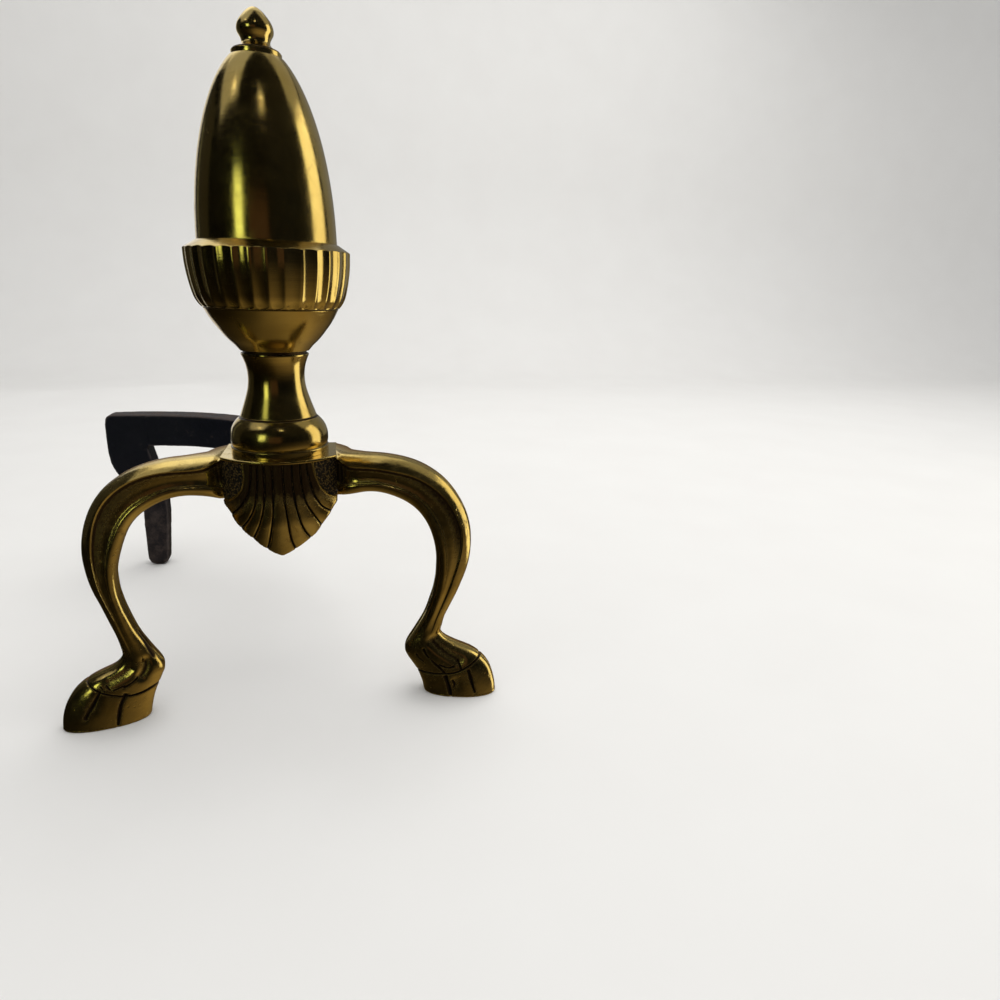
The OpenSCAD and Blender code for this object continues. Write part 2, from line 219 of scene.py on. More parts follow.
def sharpen(ob, degrees):
    """Edges sharper than this stay crisp under smooth shading."""
    bm = bmesh.new()
    bm.from_mesh(ob.data)
    limit = math.radians(degrees)
    for e in bm.edges:
        if len(e.link_faces) == 2:
            e.smooth = e.calc_face_angle(0.0) < limit
    bm.to_mesh(ob.data)
    bm.free()
    ob.data.update()


def smoothstep(x, a, b):
    t = np.clip((np.asarray(x, float) - a) / (b - a), 0, 1)
    return t * t * (3 - 2 * t)


def wobble(p, scale, seed):
    """Slow, smooth noise over points in mm, about -1 to 1."""
    r = np.random.default_rng(seed)
    p = np.asarray(p, float)
    total = np.zeros(p.shape[:-1])
    for k in range(7):
        d = r.normal(size=3)
        d /= np.linalg.norm(d)
        total = total + np.sin(p @ d * (2 * math.pi / scale) * r.uniform(0.6, 1.6) + r.uniform(0, 6.3))
    return total / 4.0


# ------------------------------------------------------------------- materials

class Nodes:
    """Short hand for building a node tree."""

    def __init__(self, name):
        self.material = bpy.data.materials.new(name)
        self.material.use_nodes = True
        self.tree = self.material.node_tree
        self.tree.nodes.clear()
        self.out = self.tree.nodes.new("ShaderNodeOutputMaterial")
        self.bsdf = self.tree.nodes.new("ShaderNodeBsdfPrincipled")
        self.tree.links.new(self.bsdf.outputs[0], self.out.inputs[0])
        self.coord = self.tree.nodes.new("ShaderNodeTexCoord").outputs["Object"]

    def link(self, a, b):
        self.tree.links.new(a, b)

    def value(self, socket, x):
        if isinstance(x, (int, float, tuple, list)):
            socket.default_value = x
        else:
            self.link(x, socket)

    def math(self, op, a, b=None, c=None, clamp=False):
        n = self.tree.nodes.new("ShaderNodeMath")
        n.operation = op
        n.use_clamp = clamp
        for i, x in enumerate((a, b, c)):
            if x is not None:
                self.value(n.inputs[i], x)
        return n.outputs[0]

    def stretch(self, vector, scale):
        n = self.tree.nodes.new("ShaderNodeMapping")
        self.link(vector, n.inputs["Vector"])
        n.inputs["Scale"].default_value = scale
        return n.outputs[0]

    def noise(self, vector, scale, detail=3.0, rough=0.5, distortion=0.0):
        n = self.tree.nodes.new("ShaderNodeTexNoise")
        self.link(vector, n.inputs["Vector"])
        n.inputs["Scale"].default_value = scale
        n.inputs["Detail"].default_value = detail
        n.inputs["Roughness"].default_value = rough
        n.inputs["Distortion"].default_value = distortion
        return n.outputs[0]

    def cells(self, vector, scale, feature="F1"):
        n = self.tree.nodes.new("ShaderNodeTexVoronoi")
        n.feature = feature
        self.link(vector, n.inputs["Vector"])
        n.inputs["Scale"].default_value = scale
        return n.outputs["Distance"]

    def ramp(self, x, stops):
        n = self.tree.nodes.new("ShaderNodeValToRGB")
        r = n.color_ramp
        while len(r.elements) < len(stops):
            r.elements.new(0.5)
        for e, (pos, colour) in zip(r.elements, stops):
            e.position = pos
            e.color = (*colour, 1.0) if len(colour) == 3 else colour
        self.link(x, n.inputs[0])
        return n.outputs[0]

    def span(self, x, lo, hi, out_lo, out_hi):
        n = self.tree.nodes.new("ShaderNodeMapRange")
        n.clamp = True
        self.link(x, n.inputs[0])
        for i, q in enumerate((lo, hi, out_lo, out_hi)):
            n.inputs[1 + i].default_value = q
        return n.outputs[0]

    def mix(self, factor, a, b):
        n = self.tree.nodes.new("ShaderNodeMix")
        n.data_type = "RGBA"
        self.value(n.inputs[0], factor)
        for socket, x in ((n.inputs[6], a), (n.inputs[7], b)):
            if isinstance(x, tuple):
                socket.default_value = (*x, 1.0)
            else:
                self.link(x, socket)
        return n.outputs[2]

    def attribute(self, name):
        n = self.tree.nodes.new("ShaderNodeAttribute")
        n.attribute_name = name
        return n.outputs["Fac"]

    def bump(self, height, distance, strength=1.0, below=None):
        n = self.tree.nodes.new("ShaderNodeBump")
        self.link(height, n.inputs["Height"])
        n.inputs["Distance"].default_value = distance
        n.inputs["Strength"].default_value = strength
        if below is not None:
            self.link(below, n.inputs["Normal"])
        return n.outputs[0]

    def edges(self, lo, hi):
        """Bright worn arrises against hollows, from how the surface turns."""
        g = self.tree.nodes.new("ShaderNodeNewGeometry")
        return self.span(g.outputs["Pointiness"], lo, hi, 0.0, 1.0)


BRASS_DEEP = (0.52, 0.365, 0.102)
BRASS_MID = (0.62, 0.460, 0.148)
BRASS_PALE = (0.70, 0.540, 0.200)
PATINA_AND_SHADE = (0.060, 0.036, 0.016)
TARNISH = (0.27, 0.145, 0.036)


def brass(name, lathe_marks=0.0, cast=0.0, rough=0.15, patina_noise=0.35):
    """Old polished brass. dirt is patina lying in hollows and painted shade in recesses, gaps and under overhangs, raw
    is casting skin left unpolished.
    """
    n = Nodes(name)
    patina_and_shade_in, raw = n.attribute("dirt"), n.attribute("raw")
    broad = n.noise(n.coord, 26.0, 4.0, 0.55, 0.4)
    cloud = n.noise(n.coord, 95.0, 5.0, 0.6, 0.8)
    fine = n.noise(n.coord, 620.0, 4.0, 0.62)
    base = n.ramp(broad, [(0.28, BRASS_DEEP), (0.52, BRASS_MID), (0.78, BRASS_PALE)])
    stain = n.math("MULTIPLY", n.span(cloud, 0.54, 0.74, 0.0, 1.0), n.span(broad, 0.38, 0.62, 0.0, 0.55))
    base = n.mix(stain, base, TARNISH)
    # patina and painted shade: what the mesh says, broken up at its edge, and a few specks of patina of its own
    breakup = n.math("MULTIPLY_ADD", n.math("SUBTRACT", fine, 0.5), 0.40, patina_and_shade_in)
    dirt = n.math("MULTIPLY", n.span(breakup, 0.16, 0.62, 0.0, 1.0), n.span(patina_and_shade_in, 0.02, 0.2, 0.0, 1.0))
    specks = n.math("MULTIPLY", n.span(n.cells(n.coord, 210.0), 0.10, 0.17, 1.0, 0.0),
                    n.span(cloud, 0.50, 0.60, 0.0, patina_noise))
    dark = n.math("MAXIMUM", dirt, specks)
    base = n.mix(dark, base, PATINA_AND_SHADE)
    # painted shade: where the mesh's value passes 0.9 the colour goes near black, as occlusion in the deepest recesses
    painted_deep_shade = n.span(patina_and_shade_in, 0.90, 1.0, 0.0, 0.8)
    base = n.mix(painted_deep_shade, base, (0.0055, 0.0032, 0.0035))
    skin = n.mix(n.span(cloud, 0.35, 0.7, 0.0, 1.0), (0.20, 0.115, 0.040), (0.34, 0.205, 0.070))
    base = n.mix(raw, base, skin)
    n.link(base, n.bsdf.inputs["Base Color"])
    n.link(n.span(dark, 0.0, 1.0, 1.0, 0.93), n.bsdf.inputs["Metallic"])

    # hand polish: fine crossing scratches, dulled patches, dull patina and painted shade
    scr_a = n.noise(n.stretch(n.coord, (900.0, 60.0, 2400.0)), 1.0, 2.0, 0.5)
    scr_b = n.noise(n.stretch(n.coord, (260.0, 1500.0, 300.0)), 1.0, 2.0, 0.5)
    scratches = n.math("ADD", scr_a, scr_b)
    r = n.span(cloud, 0.30, 0.75, rough * 0.80, rough * 1.45)
    r = n.math("ADD", r, n.span(scratches, 0.7, 1.3, -0.02, 0.05))
    r = n.math("ADD", r, n.math("MULTIPLY", stain, 0.12))
    r = n.math("ADD", r, n.math("MULTIPLY", dark, 0.16))
    r = n.math("ADD", r, n.math("MULTIPLY", raw, 0.34), clamp=True)
    n.link(r, n.bsdf.inputs["Roughness"])

    normal = n.bump(scratches, 0.00002, 0.35)
    if lathe_marks:
        lines = n.noise(n.stretch(n.coord, (6.0, 6.0, 2600.0)), 1.0, 3.0, 0.6)
        normal = n.bump(lines, 0.00003 * lathe_marks, 0.8, normal)
        slow = n.noise(n.stretch(n.coord, (3.0, 3.0, 420.0)), 1.0, 2.0, 0.5)
        normal = n.bump(slow, 0.00006 * lathe_marks, 0.5, normal)
    if cast:
        skin_h = n.noise(n.coord, 150.0, 3.0, 0.5, 0.3)
        normal = n.bump(skin_h, 0.00035 * cast, 0.55, normal)
        pits = n.span(n.cells(n.coord, 330.0), 0.08, 0.26, 0.0, 1.0)
        few = n.span(cloud, 0.55, 0.66, 0.0, 1.0)
        pit_h = n.math("SUBTRACT", 1.0, n.math("MULTIPLY", n.math("SUBTRACT", 1.0, pits), few))
        normal = n.bump(pit_h, 0.00022 * cast, 0.8, normal)
    grit = n.noise(n.coord, 1500.0, 2.0, 0.6)
    rough_h = n.math("MULTIPLY", grit, n.math("MAXIMUM", dark, raw))
    normal = n.bump(rough_h, 0.0004, 0.9, normal)
    lump = n.math("MULTIPLY", n.noise(n.coord, 380.0, 3.0, 0.6), raw)
    normal = n.bump(lump, 0.0007, 0.9, normal)
    n.link(normal, n.bsdf.inputs["Normal"])
    return n.material


def stippled_brass(name):
    """The sunk side panels: punched all over, with patina between the high spots."""
    n = Nodes(name)
    warp = n.noise(n.coord, 300.0, 2.0, 0.5)
    dots = n.cells(n.coord, 900.0)
    cloud = n.noise(n.coord, 170.0, 4.0, 0.6)
    high = n.span(dots, 0.18, 0.52, 1.0, 0.0)
    tone = n.math("MULTIPLY", high, n.span(cloud, 0.3, 0.7, 0.35, 0.95))
    tone = n.math("MULTIPLY", tone, n.span(warp, 0.2, 0.7, 0.6, 1.0))
    base = n.mix(tone, (0.011, 0.0070, 0.0040), (0.40, 0.260, 0.075))
    n.link(base, n.bsdf.inputs["Base Color"])
    n.link(n.span(tone, 0.0, 1.0, 0.55, 1.0), n.bsdf.inputs["Metallic"])
    n.link(n.span(tone, 0.0, 1.0, 0.62, 0.30), n.bsdf.inputs["Roughness"])
    normal = n.bump(high, 0.00035, 0.9)
    normal = n.bump(cloud, 0.0006, 0.6, normal)
    n.link(normal, n.bsdf.inputs["Normal"])
    return n.material


def iron(name):
    """Cast iron that has stood in a fire: black skin, brown rust on what faces up and on edges."""
    n = Nodes(name)
    g = n.tree.nodes.new("ShaderNodeNewGeometry")
    sep = n.tree.nodes.new("ShaderNodeSeparateXYZ")
    n.link(g.outputs["Normal"], sep.inputs[0])
    pos = n.tree.nodes.new("ShaderNodeSeparateXYZ")
    n.link(n.coord, pos.inputs[0])
    big = n.noise(n.coord, 22.0, 5.0, 0.6, 0.5)
    mid = n.noise(n.coord, 120.0, 6.0, 0.65, 0.3)
    fine = n.noise(n.coord, 900.0, 4.0, 0.65)
    up = n.span(sep.outputs[2], 0.35, 0.9, 0.0, 0.85)
    low = n.span(pos.outputs[2], 0.075, 0.045, 0.0, 0.62)
    wear = n.math("MAXIMUM", up, low)
    field = n.math("ADD", n.math("MULTIPLY", mid, 0.75), n.math("MULTIPLY", fine, 0.35))
    rust_mask = n.math("MULTIPLY", n.span(field, 0.40, 0.66, 0.25, 1.0), wear)
    spots = n.math("MULTIPLY", n.span(mid, 0.60, 0.72, 0.0, 0.55), n.span(big, 0.45, 0.6, 0.0, 1.0))
    rust_mask = n.math("MAXIMUM", rust_mask, spots)
    black = n.mix(n.span(big, 0.3, 0.7, 0.0, 1.0), (0.0030, 0.0042, 0.0100), (0.0072, 0.0074, 0.0130))
    rust = n.ramp(field, [(0.30, (0.024, 0.016, 0.013)), (0.52, (0.050, 0.033, 0.025)), (0.75, (0.088, 0.064, 0.051))])
    base = n.mix(rust_mask, black, rust)
    edge = n.edges(0.515, 0.56)
    base = n.mix(n.math("MULTIPLY", edge, 0.5), base, (0.13, 0.10, 0.088))
    n.link(base, n.bsdf.inputs["Base Color"])
    n.bsdf.inputs["Metallic"].default_value = 0.0
    r = n.span(rust_mask, 0.0, 1.0, 0.46, 0.80)
    r = n.math("ADD", r, n.span(fine, 0.3, 0.7, -0.06, 0.08), clamp=True)
    n.link(r, n.bsdf.inputs["Roughness"])
    n.bsdf.inputs["Specular IOR Level"].default_value = 0.22
    normal = n.bump(mid, 0.0011, 0.7)
    normal = n.bump(fine, 0.00035, 0.8, normal)
    pits = n.span(n.cells(n.coord, 260.0), 0.06, 0.30, 0.0, 1.0)
    normal = n.bump(pits, 0.0003, 0.5, normal)
    n.link(normal, n.bsdf.inputs["Normal"])
    return n.material


def steel(name, turned=False):
    """Plated steel of the rod and its fastenings, dulled and browned by heat."""
    n = Nodes(name)
    cloud = n.noise(n.coord, 210.0, 5.0, 0.6, 0.4)
    fine = n.noise(n.coord, 1700.0, 3.0, 0.6)
    base = n.ramp(cloud, [(0.30, (0.085, 0.055, 0.042)), (0.46, (0.26, 0.235, 0.215)), (0.72, (0.42, 0.41, 0.395))])
    n.link(base, n.bsdf.inputs["Base Color"])
    n.link(n.span(cloud, 0.34, 0.5, 0.55, 1.0), n.bsdf.inputs["Metallic"])
    n.link(n.span(cloud, 0.32, 0.66, 0.66, 0.34), n.bsdf.inputs["Roughness"])
    normal = n.bump(fine, 0.00012, 0.6)
    normal = n.bump(cloud, 0.0002, 0.5, normal)
    n.link(normal, n.bsdf.inputs["Normal"])
    return n.material


MAT_CAST = brass("brass_cast", cast=1.0, rough=0.17)
MAT_TURNED = brass("brass_turned", lathe_marks=1.0, rough=0.13, patina_noise=0.04)
MAT_STIPPLE = stippled_brass("brass_stippled")
MAT_IRON = iron("cast_iron")
MAT_STEEL = steel("steel_dull")


# ------------------------------------------------------------------ the plinth

PLINTH_TOP, PLINTH_HALF, BOW_R, WALL = 157.0, 32.0, 41.6, 4.6
BOW_Y = BOW_R - 32.0


def shell_r(z):
    z = np.asarray(z, float)
    drop = np.where(z < 118, 0.811 + 0.27 * (118 - z), np.where(z < 124, (124 - z) ** 2 / 44.4, 0.0))
    return BOW_R - 0.6 - drop


def on_shell(x, z, out=0.0):
    r = shell_r(z) + out
    y = BOW_Y - np.sqrt(np.maximum(r * r - x * x, 1.0))
    return np.stack([x, y, z], axis=-1)


def plate_outline(r, inset):
    """Edge of the plate, bowed to radius `r` in front and drawn in by `inset` at the sides and back."""
    half = math.asin(PLINTH_HALF / r)
    side, back_y = PLINTH_HALF - inset, 18.0 - 2 * inset
    arc = np.array([(r * math.sin(t), BOW_Y - r * math.cos(t)) for t in np.linspace(half, -half, 121)])
    arc[:, 0] = np.clip(arc[:, 0], -side, side)
    y0 = arc[0, 1]
    back = [(-side, y) for y in np.linspace(y0, back_y, 20)[1:]]
    back += [(x, back_y) for x in np.linspace(-side, side, 30)[1:]]
    back += [(side, y) for y in np.linspace(back_y, y0, 20)[1:-1]]
    return np.concatenate([arc, np.array(back)])


def plate(b):
    """Flat top whose thin front lip stands out over the shell and the side panels."""
    low = BOW_R - 1.4
    lip = [(low - 0.6, 0.10, 151.0), (low - 0.2, 0.04, 151.15), (low, 0.0, 151.6), (low, 0.0, 153.5), (low, 0.0, 155.2),
           (low + 0.1, 0.0, 155.36), (low + 0.9, 0.0, 155.4), (BOW_R - 0.2, 0.0, 155.45), (BOW_R - 0.05, 0.0, 155.6),
           (BOW_R, 0.0, 155.85), (BOW_R, 0.0, 156.45), (BOW_R - 0.08, 0.0, 156.72), (BOW_R - 0.28, 0.02, 156.92),
           (BOW_R - 0.6, 0.05, 157.0)]
    rows = [np.column_stack([o, np.full(len(o), z)]) for o, z in ((plate_outline(r, e), z) for r, e, z in lip)]
    n = len(rows[0])
    # flat top, drawn in towards the rod hole; flat underside likewise
    top_edge = rows[-1][:, :2]
    ang = np.arctan2(top_edge[:, 0], -(top_edge[:, 1] + 2))
    hole = np.column_stack([4.5 * np.sin(ang), -4.5 * np.cos(ang)])
    for t in (0.04, 0.25, 0.6, 1.0):
        rows.append(np.column_stack([top_edge * (1 - t) + hole * t, np.full(n, 157.0)]))
    rows.append(np.column_stack([hole, np.full(n, 151.0)]))
    v = np.concatenate(rows)
    m = len(rows)
    faces = ring_faces(m, n, close_rows=True)
    raw = np.concatenate([np.full(n, 1.0 if i in (0, m - 1) else 0.0) for i in range(m)])
    # painted shade: the band under the overhanging front lip is darkened, and a little of the lip's lower edge
    b.add(v, faces, 0, dirt=np.concatenate([np.full(n, 0.75 if i <= 6 else 0.25 if i == 7 else 0.0) for i in range(m)]), raw=raw)


def block(b, lo, hi, bevel, slot=0, raw=1.0, dirt=0.0, cuts=6):
    """A cast lump with softened edges."""
    bm = bmesh.new()
    bmesh.ops.create_cube(bm, size=1.0)
    lo, hi = np.array(lo, float), np.array(hi, float)
    for v in bm.verts:
        v.co = Vector((lo + (np.array(v.co) + 0.5) * (hi - lo)).tolist())
    bmesh.ops.subdivide_edges(bm, edges=bm.edges[:], cuts=cuts, use_grid_fill=True)
    size = hi - lo
    for v in bm.verts:
        p = np.array(v.co)
        inner = np.clip(p, lo + bevel, hi - bevel)
        d = p - inner
        l = np.linalg.norm(d)
        if l > bevel:
            v.co = Vector((inner + d / l * bevel).tolist())
    bm.verts.ensure_lookup_table()
    b.add([list(v.co) for v in bm.verts], [[v.index for v in f.verts] for f in bm.faces], slot, dirt, raw)
    bm.free()


def tube(b, r0, r1, z0, z1, segments=72, raw=1.0, dirt=0.0):
    line = rounded([(r1, (z0 + z1) / 2), (r1, z1), (r0, z1), (r0, z0), (r1, z0), (r1, (z0 + z1) / 2)],
                   [0, 0.6, 0.4, 0.4, 0.6, 0])[:-1]
    v = lathe(line[::-1], segments)
    b.add(v.reshape(-1, 3), ring_faces(len(line), segments, close_rows=True), 0, dirt, raw)


# the carving is not quite even from side to side; 1 is the right half, -1 the left
GROOVES = {
    1: [[[2.9, 155.3], [2.9, 146], [3.0, 134.5], [3.5, 128.6], [4.2, 121], [4.8, 113], [5.6, 108], [7.2, 102.8]],
        [[7.9, 155.3], [7.8, 143], [8.2, 137.5], [8.9, 131.7], [10.8, 121.8], [12, 117.5], [13.4, 113.8], [15.9, 109.2]],
        [[12.2, 155.3], [12.5, 145], [13.4, 136.5], [14.8, 131.5], [18.8, 123.5], [22.5, 116.2]],
        [[15.4, 155.3], [16.3, 148], [18, 140.6], [19.1, 136.2], [20.9, 132.2], [22.9, 128.7], [28.6, 123.8]]],
    -1: [[[-2.75, 155.3], [-2.8, 146], [-3.0, 137.7], [-3.7, 125.8], [-4.7, 119.7], [-6.1, 113], [-7.9, 106.1], [-9.0, 103.6]],
         [[-7.35, 155.3], [-7.3, 143.5], [-7.6, 137.7], [-8.3, 131.8], [-10.2, 123.9], [-12, 118.8], [-14.6, 113.1], [-16.4, 110]],
         [[-10.8, 155.3], [-11.3, 143.4], [-12.1, 137.5], [-13.3, 131.5], [-17, 123.4], [-19.2, 120.2], [-22.8, 116.2]],
         [[-14.1, 155.3], [-14.6, 149], [-15.3, 143.1], [-16.4, 138.9], [-18.5, 134.6], [-21.1, 130.6], [-24.3, 127.1], [-28, 123.9]]]}
CREASE = {
    1: [[19.6, 155.3], [20.3, 150.3], [21.4, 145.3], [22.9, 140.8], [25.5, 136.6], [29, 133.3], [31.95, 131.6]],
    -1: [[-19.4, 155.3], [-19.2, 146], [-20.9, 140.1], [-24.2, 136.1], [-28.4, 132.9], [-31.95, 131.6]]}
LOWER = {
    1: [[31.95, 131.6], [31.95, 129.0], [30.2, 126.7], [28.4, 123.7], [24.8, 119.3], [21.7, 114.9], [18.7, 111.2],
        [12.9, 106.9], [7.0, 102.7], [2.9, 100.3], [-0.4, 98.9]],
    -1: [[-31.95, 131.6], [-31.95, 129.6], [-29.3, 126.6], [-27.7, 123.5], [-25.6, 120], [-23, 116.3], [-18.8, 112.1],
         [-14.5, 108.3], [-11.4, 105.5], [-7.1, 102.3], [-2.9, 99.9], [-0.4, 98.9]]}


def shell(b):
    """Scallop drop: nine lobes between eight cut grooves, each lobe a patch between its two grooves."""
    low = {s: smooth_curve(LOWER[s], 0.1) for s in (1, -1)}
    ends = {s: [int(np.argmin(np.linalg.norm(low[s] - np.array(g[-1]), axis=1))) for g in GROOVES[s]] for s in (1, -1)}
    rows = 100
    tb = np.linspace(0, 1, rows)

    def along(points, end=None):
        p = np.array(points, float)
        if end is not None:
            p[-1] = end
        c = smooth_curve(p, 0.1)
        t = np.concatenate([[0], np.cumsum(np.linalg.norm(np.diff(c, axis=0), axis=1))])
        t /= t[-1]
        return np.column_stack([np.interp(tb, t, c[:, 0]), np.interp(tb, t, c[:, 1])])

    lines = {s: [along(g, low[s][e]) for g, e in zip(GROOVES[s], ends[s])] + [along(CREASE[s])] for s in (1, -1)}
    for s in (1, -1):
        ends[s].append(0)
    lobes = []
    for k in (3, 2, 1, 0):          # left side, outermost first
        lobes.append((lines[-1][k + 1], lines[-1][k], low[-1][ends[-1][k + 1]:ends[-1][k] + 1], k + 1, k))
    centre_low = np.concatenate([low[-1][ends[-1][0]:], (low[1][ends[1][0]:])[::-1][1:]])
    lobes.append((lines[-1][0], lines[1][0], centre_low, 0, 0))
    for k in (0, 1, 2, 3):
        lobes.append((lines[1][k], lines[1][k + 1], (low[1][ends[1][k + 1]:ends[1][k] + 1])[::-1], k, k + 1))
    across = 18
    # columns crowd towards the grooves
    ca = 0.5 - 0.5 * np.cos(np.linspace(0, math.pi, across + 1))
    ca = 0.35 * np.linspace(0, 1, across + 1) + 0.65 * ca
    cols_x, cols_z, cols_out, cols_patina_and_shade = [], [], [], []
    for number, (lft, rgt, bottom, kl, kr) in enumerate(lobes):
        t = np.concatenate([[0], np.cumsum(np.linalg.norm(np.diff(bottom, axis=0), axis=1))])
        t /= t[-1]
        width = np.linalg.norm(rgt - lft, axis=1)
        for j, a in enumerate(ca):
            if j == 0 and number > 0:
                continue
            top = lft[0] * (1 - a) + rgt[0] * a
            bot = np.array([np.interp(a, t, bottom[:, 0]), np.interp(a, t, bottom[:, 1])])
            corner0 = lft[0] * (1 - a) + rgt[0] * a
            corner1 = lft[-1] * (1 - a) + rgt[-1] * a
            xz = (1 - a) * lft + a * rgt + (1 - tb)[:, None] * (top - corner0) + tb[:, None] * (bot - corner1)
            dl, dr = a * width, (1 - a) * width
            rise = (0.30 + 0.45 * tb) * np.sin(math.pi * a) ** 0.75
            out = rise.copy()
            dirt = np.zeros(rows)
            bead_clear = np.ones(rows)
            fade = 1 - 0.25 * smoothstep(tb, 0.86, 1.0)
            for d, k in ((dl, kl), (dr, kr)):
                if k == 4:          # outer edge of the shell: a raised bead, not a groove
                    out += 0.85 * np.exp(-(d / 0.8) ** 2)
                    bead_clear = np.minimum(bead_clear, 1 - 0.97 * np.exp(-(d / 1.15) ** 4))
                    continue
                wide = 0.42 + 0.16 * tb
                out -= 0.95 * np.exp(-(d / wide) ** 2) * fade
                out += 0.10 * np.exp(-((d - 1.0) / 0.4) ** 2)
                dirt = np.maximum(dirt, 1.0 * np.exp(-(d / (wide * 1.05)) ** 2))
            # painted shade under the plate: the upper part of the shell is darkened towards the plate
            zc = xz[:, 1]
            xc = xz[:, 0]
            # it reaches lower beside the grooves and on the far left, and fades slowly
            lobe = np.sin(math.pi * a) ** 0.8
            reach = 127.5 + 4.5 * lobe + 1.3 * np.sin(xc * 0.37 + 0.8) - 4.0 * smoothstep(-xc, 6, 22)
            streak = 0.78 + 0.05 * np.sin(xc * 2.1 + 0.6)
            dirt = np.maximum(dirt, streak * smoothstep(zc, reach - 8.0, reach + 13.0))
            cols_x.append(xz[:, 0])
            cols_z.append(xz[:, 1])
            cols_out.append(out)
            cols_patina_and_shade.append(dirt * bead_clear)
    x, z = np.array(cols_x).T, np.array(cols_z).T
    out, dirt = np.array(cols_out).T, np.array(cols_patina_and_shade).T
    cols = x.shape[1]
    # distance to the free edge, to round it over
    edge = np.concatenate([lines[-1][4], low[-1], low[1][::-1], lines[1][4][::-1]])
    flat = np.column_stack([x.ravel(), z.ravel()])
    dist = np.empty(len(flat))
    for i in range(0, len(flat), 2000):
        c = flat[i:i + 2000]
        dist[i:i + 2000] = np.min(np.linalg.norm(c[:, None, :] - edge[None, ::4, :], axis=2), axis=1)
    dist = dist.reshape(x.shape)
    r = 1.3
    over = np.where(dist < r, r - np.sqrt(np.maximum(r * r - (r - dist) ** 2, 0)), 0)
    low_part = smoothstep(z, 134, 129)
    out = out - over * (0.25 + 0.75 * low_part)
    front = on_shell(x, z, out)
    back = on_shell(x, z, -WALL + 0.0 * out)
    rim = on_shell(x, z, -WALL / 2)
    # sheets, joined round the border
    nv = rows * cols
    v = np.concatenate([front.reshape(-1, 3), back.reshape(-1, 3)])
    f = sheet_faces(rows, cols) + [[i + nv for i in q] for q in sheet_faces(rows, cols, flip=True)]
    border = [i for i in range(cols)] + [(i + 1) * cols - 1 for i in range(1, rows)] \
        + [(rows - 1) * cols + i for i in range(cols - 2, -1, -1)] + [i * cols for i in range(rows - 2, 0, -1)]
    m = len(border)
    for i in range(m):
        a, c = border[i], border[(i + 1) % m]
        f.append([a, a + nv, c + nv, c])
    b.add(v, f, 0,
          dirt=np.concatenate([dirt.ravel(), np.full(nv, 0.2)]),
          raw=np.concatenate([np.zeros(nv), np.ones(nv)]))


def skirt(b):
    """Sunk, stippled panel either side of the shell."""
    r = BOW_R - 1.4 + 0.03
    half = math.asin((PLINTH_HALF - 0.05) / r)
    t = np.linspace(-half, half, 150)
    zs = [155.38] + list(np.linspace(154.6, 133.4, 24)) + [132.5, 131.9, 131.5, 131.35]
    inset = [0.0] * 25 + [0.1, 0.35, 0.8, 1.4]
    rows = []
    for z, i in zip(zs, inset):
        rows.append(np.column_stack([(r - i) * np.sin(t), BOW_Y - (r - i) * np.cos(t), np.full(len(t), z)]))
    rows.append(np.column_stack([(r - WALL + 1) * np.sin(t), BOW_Y - (r - WALL + 1) * np.cos(t), np.full(len(t), 131.35)]))
    rows.append(np.column_stack([(r - WALL + 1) * np.sin(t), BOW_Y - (r - WALL + 1) * np.cos(t), np.full(len(t), 155.38)]))
    v = np.concatenate(rows)
    n, m = len(t), len(rows)
    faces = sheet_faces(m, n, flip=False)
    slots = [1 if i < 25 else 0 for i in range(m - 1) for _ in range(n - 1)]
    raw = np.concatenate([np.full(n, 0.0 if i < 26 else 1.0) for i in range(m)])
    b.add(v, faces, slots, dirt=0.4, raw=raw)


def make_plinth():
    b = Build()
    plate(b)
    skirt(b)
    for s in (-1, 1):
        lo, hi = sorted((s * 26.0, s * 31.98))
        block(b, (lo, -12.8, 133.0), (hi, 18.0, 152.0), 0.7, raw=1.0, dirt=0.2, cuts=14)
        lo, hi = sorted((s * 11.5, s * 16.5))
        block(b, (lo, 6.0, 133.0), (hi, 18.0, 152.0), 0.8)
    tube(b, 4.5, 13.0, 138.5, 152.0)
    shell(b)
    ob = b.object("plinth_casting", [MAT_CAST, MAT_STIPPLE])
    fix_normals(ob)
    sharpen(ob, 38)
    inside_node(ob, "plinth")
    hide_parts("plinth")
    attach(ob, BODY)
    return ob


# -------------------------------------------------------------------- the legs

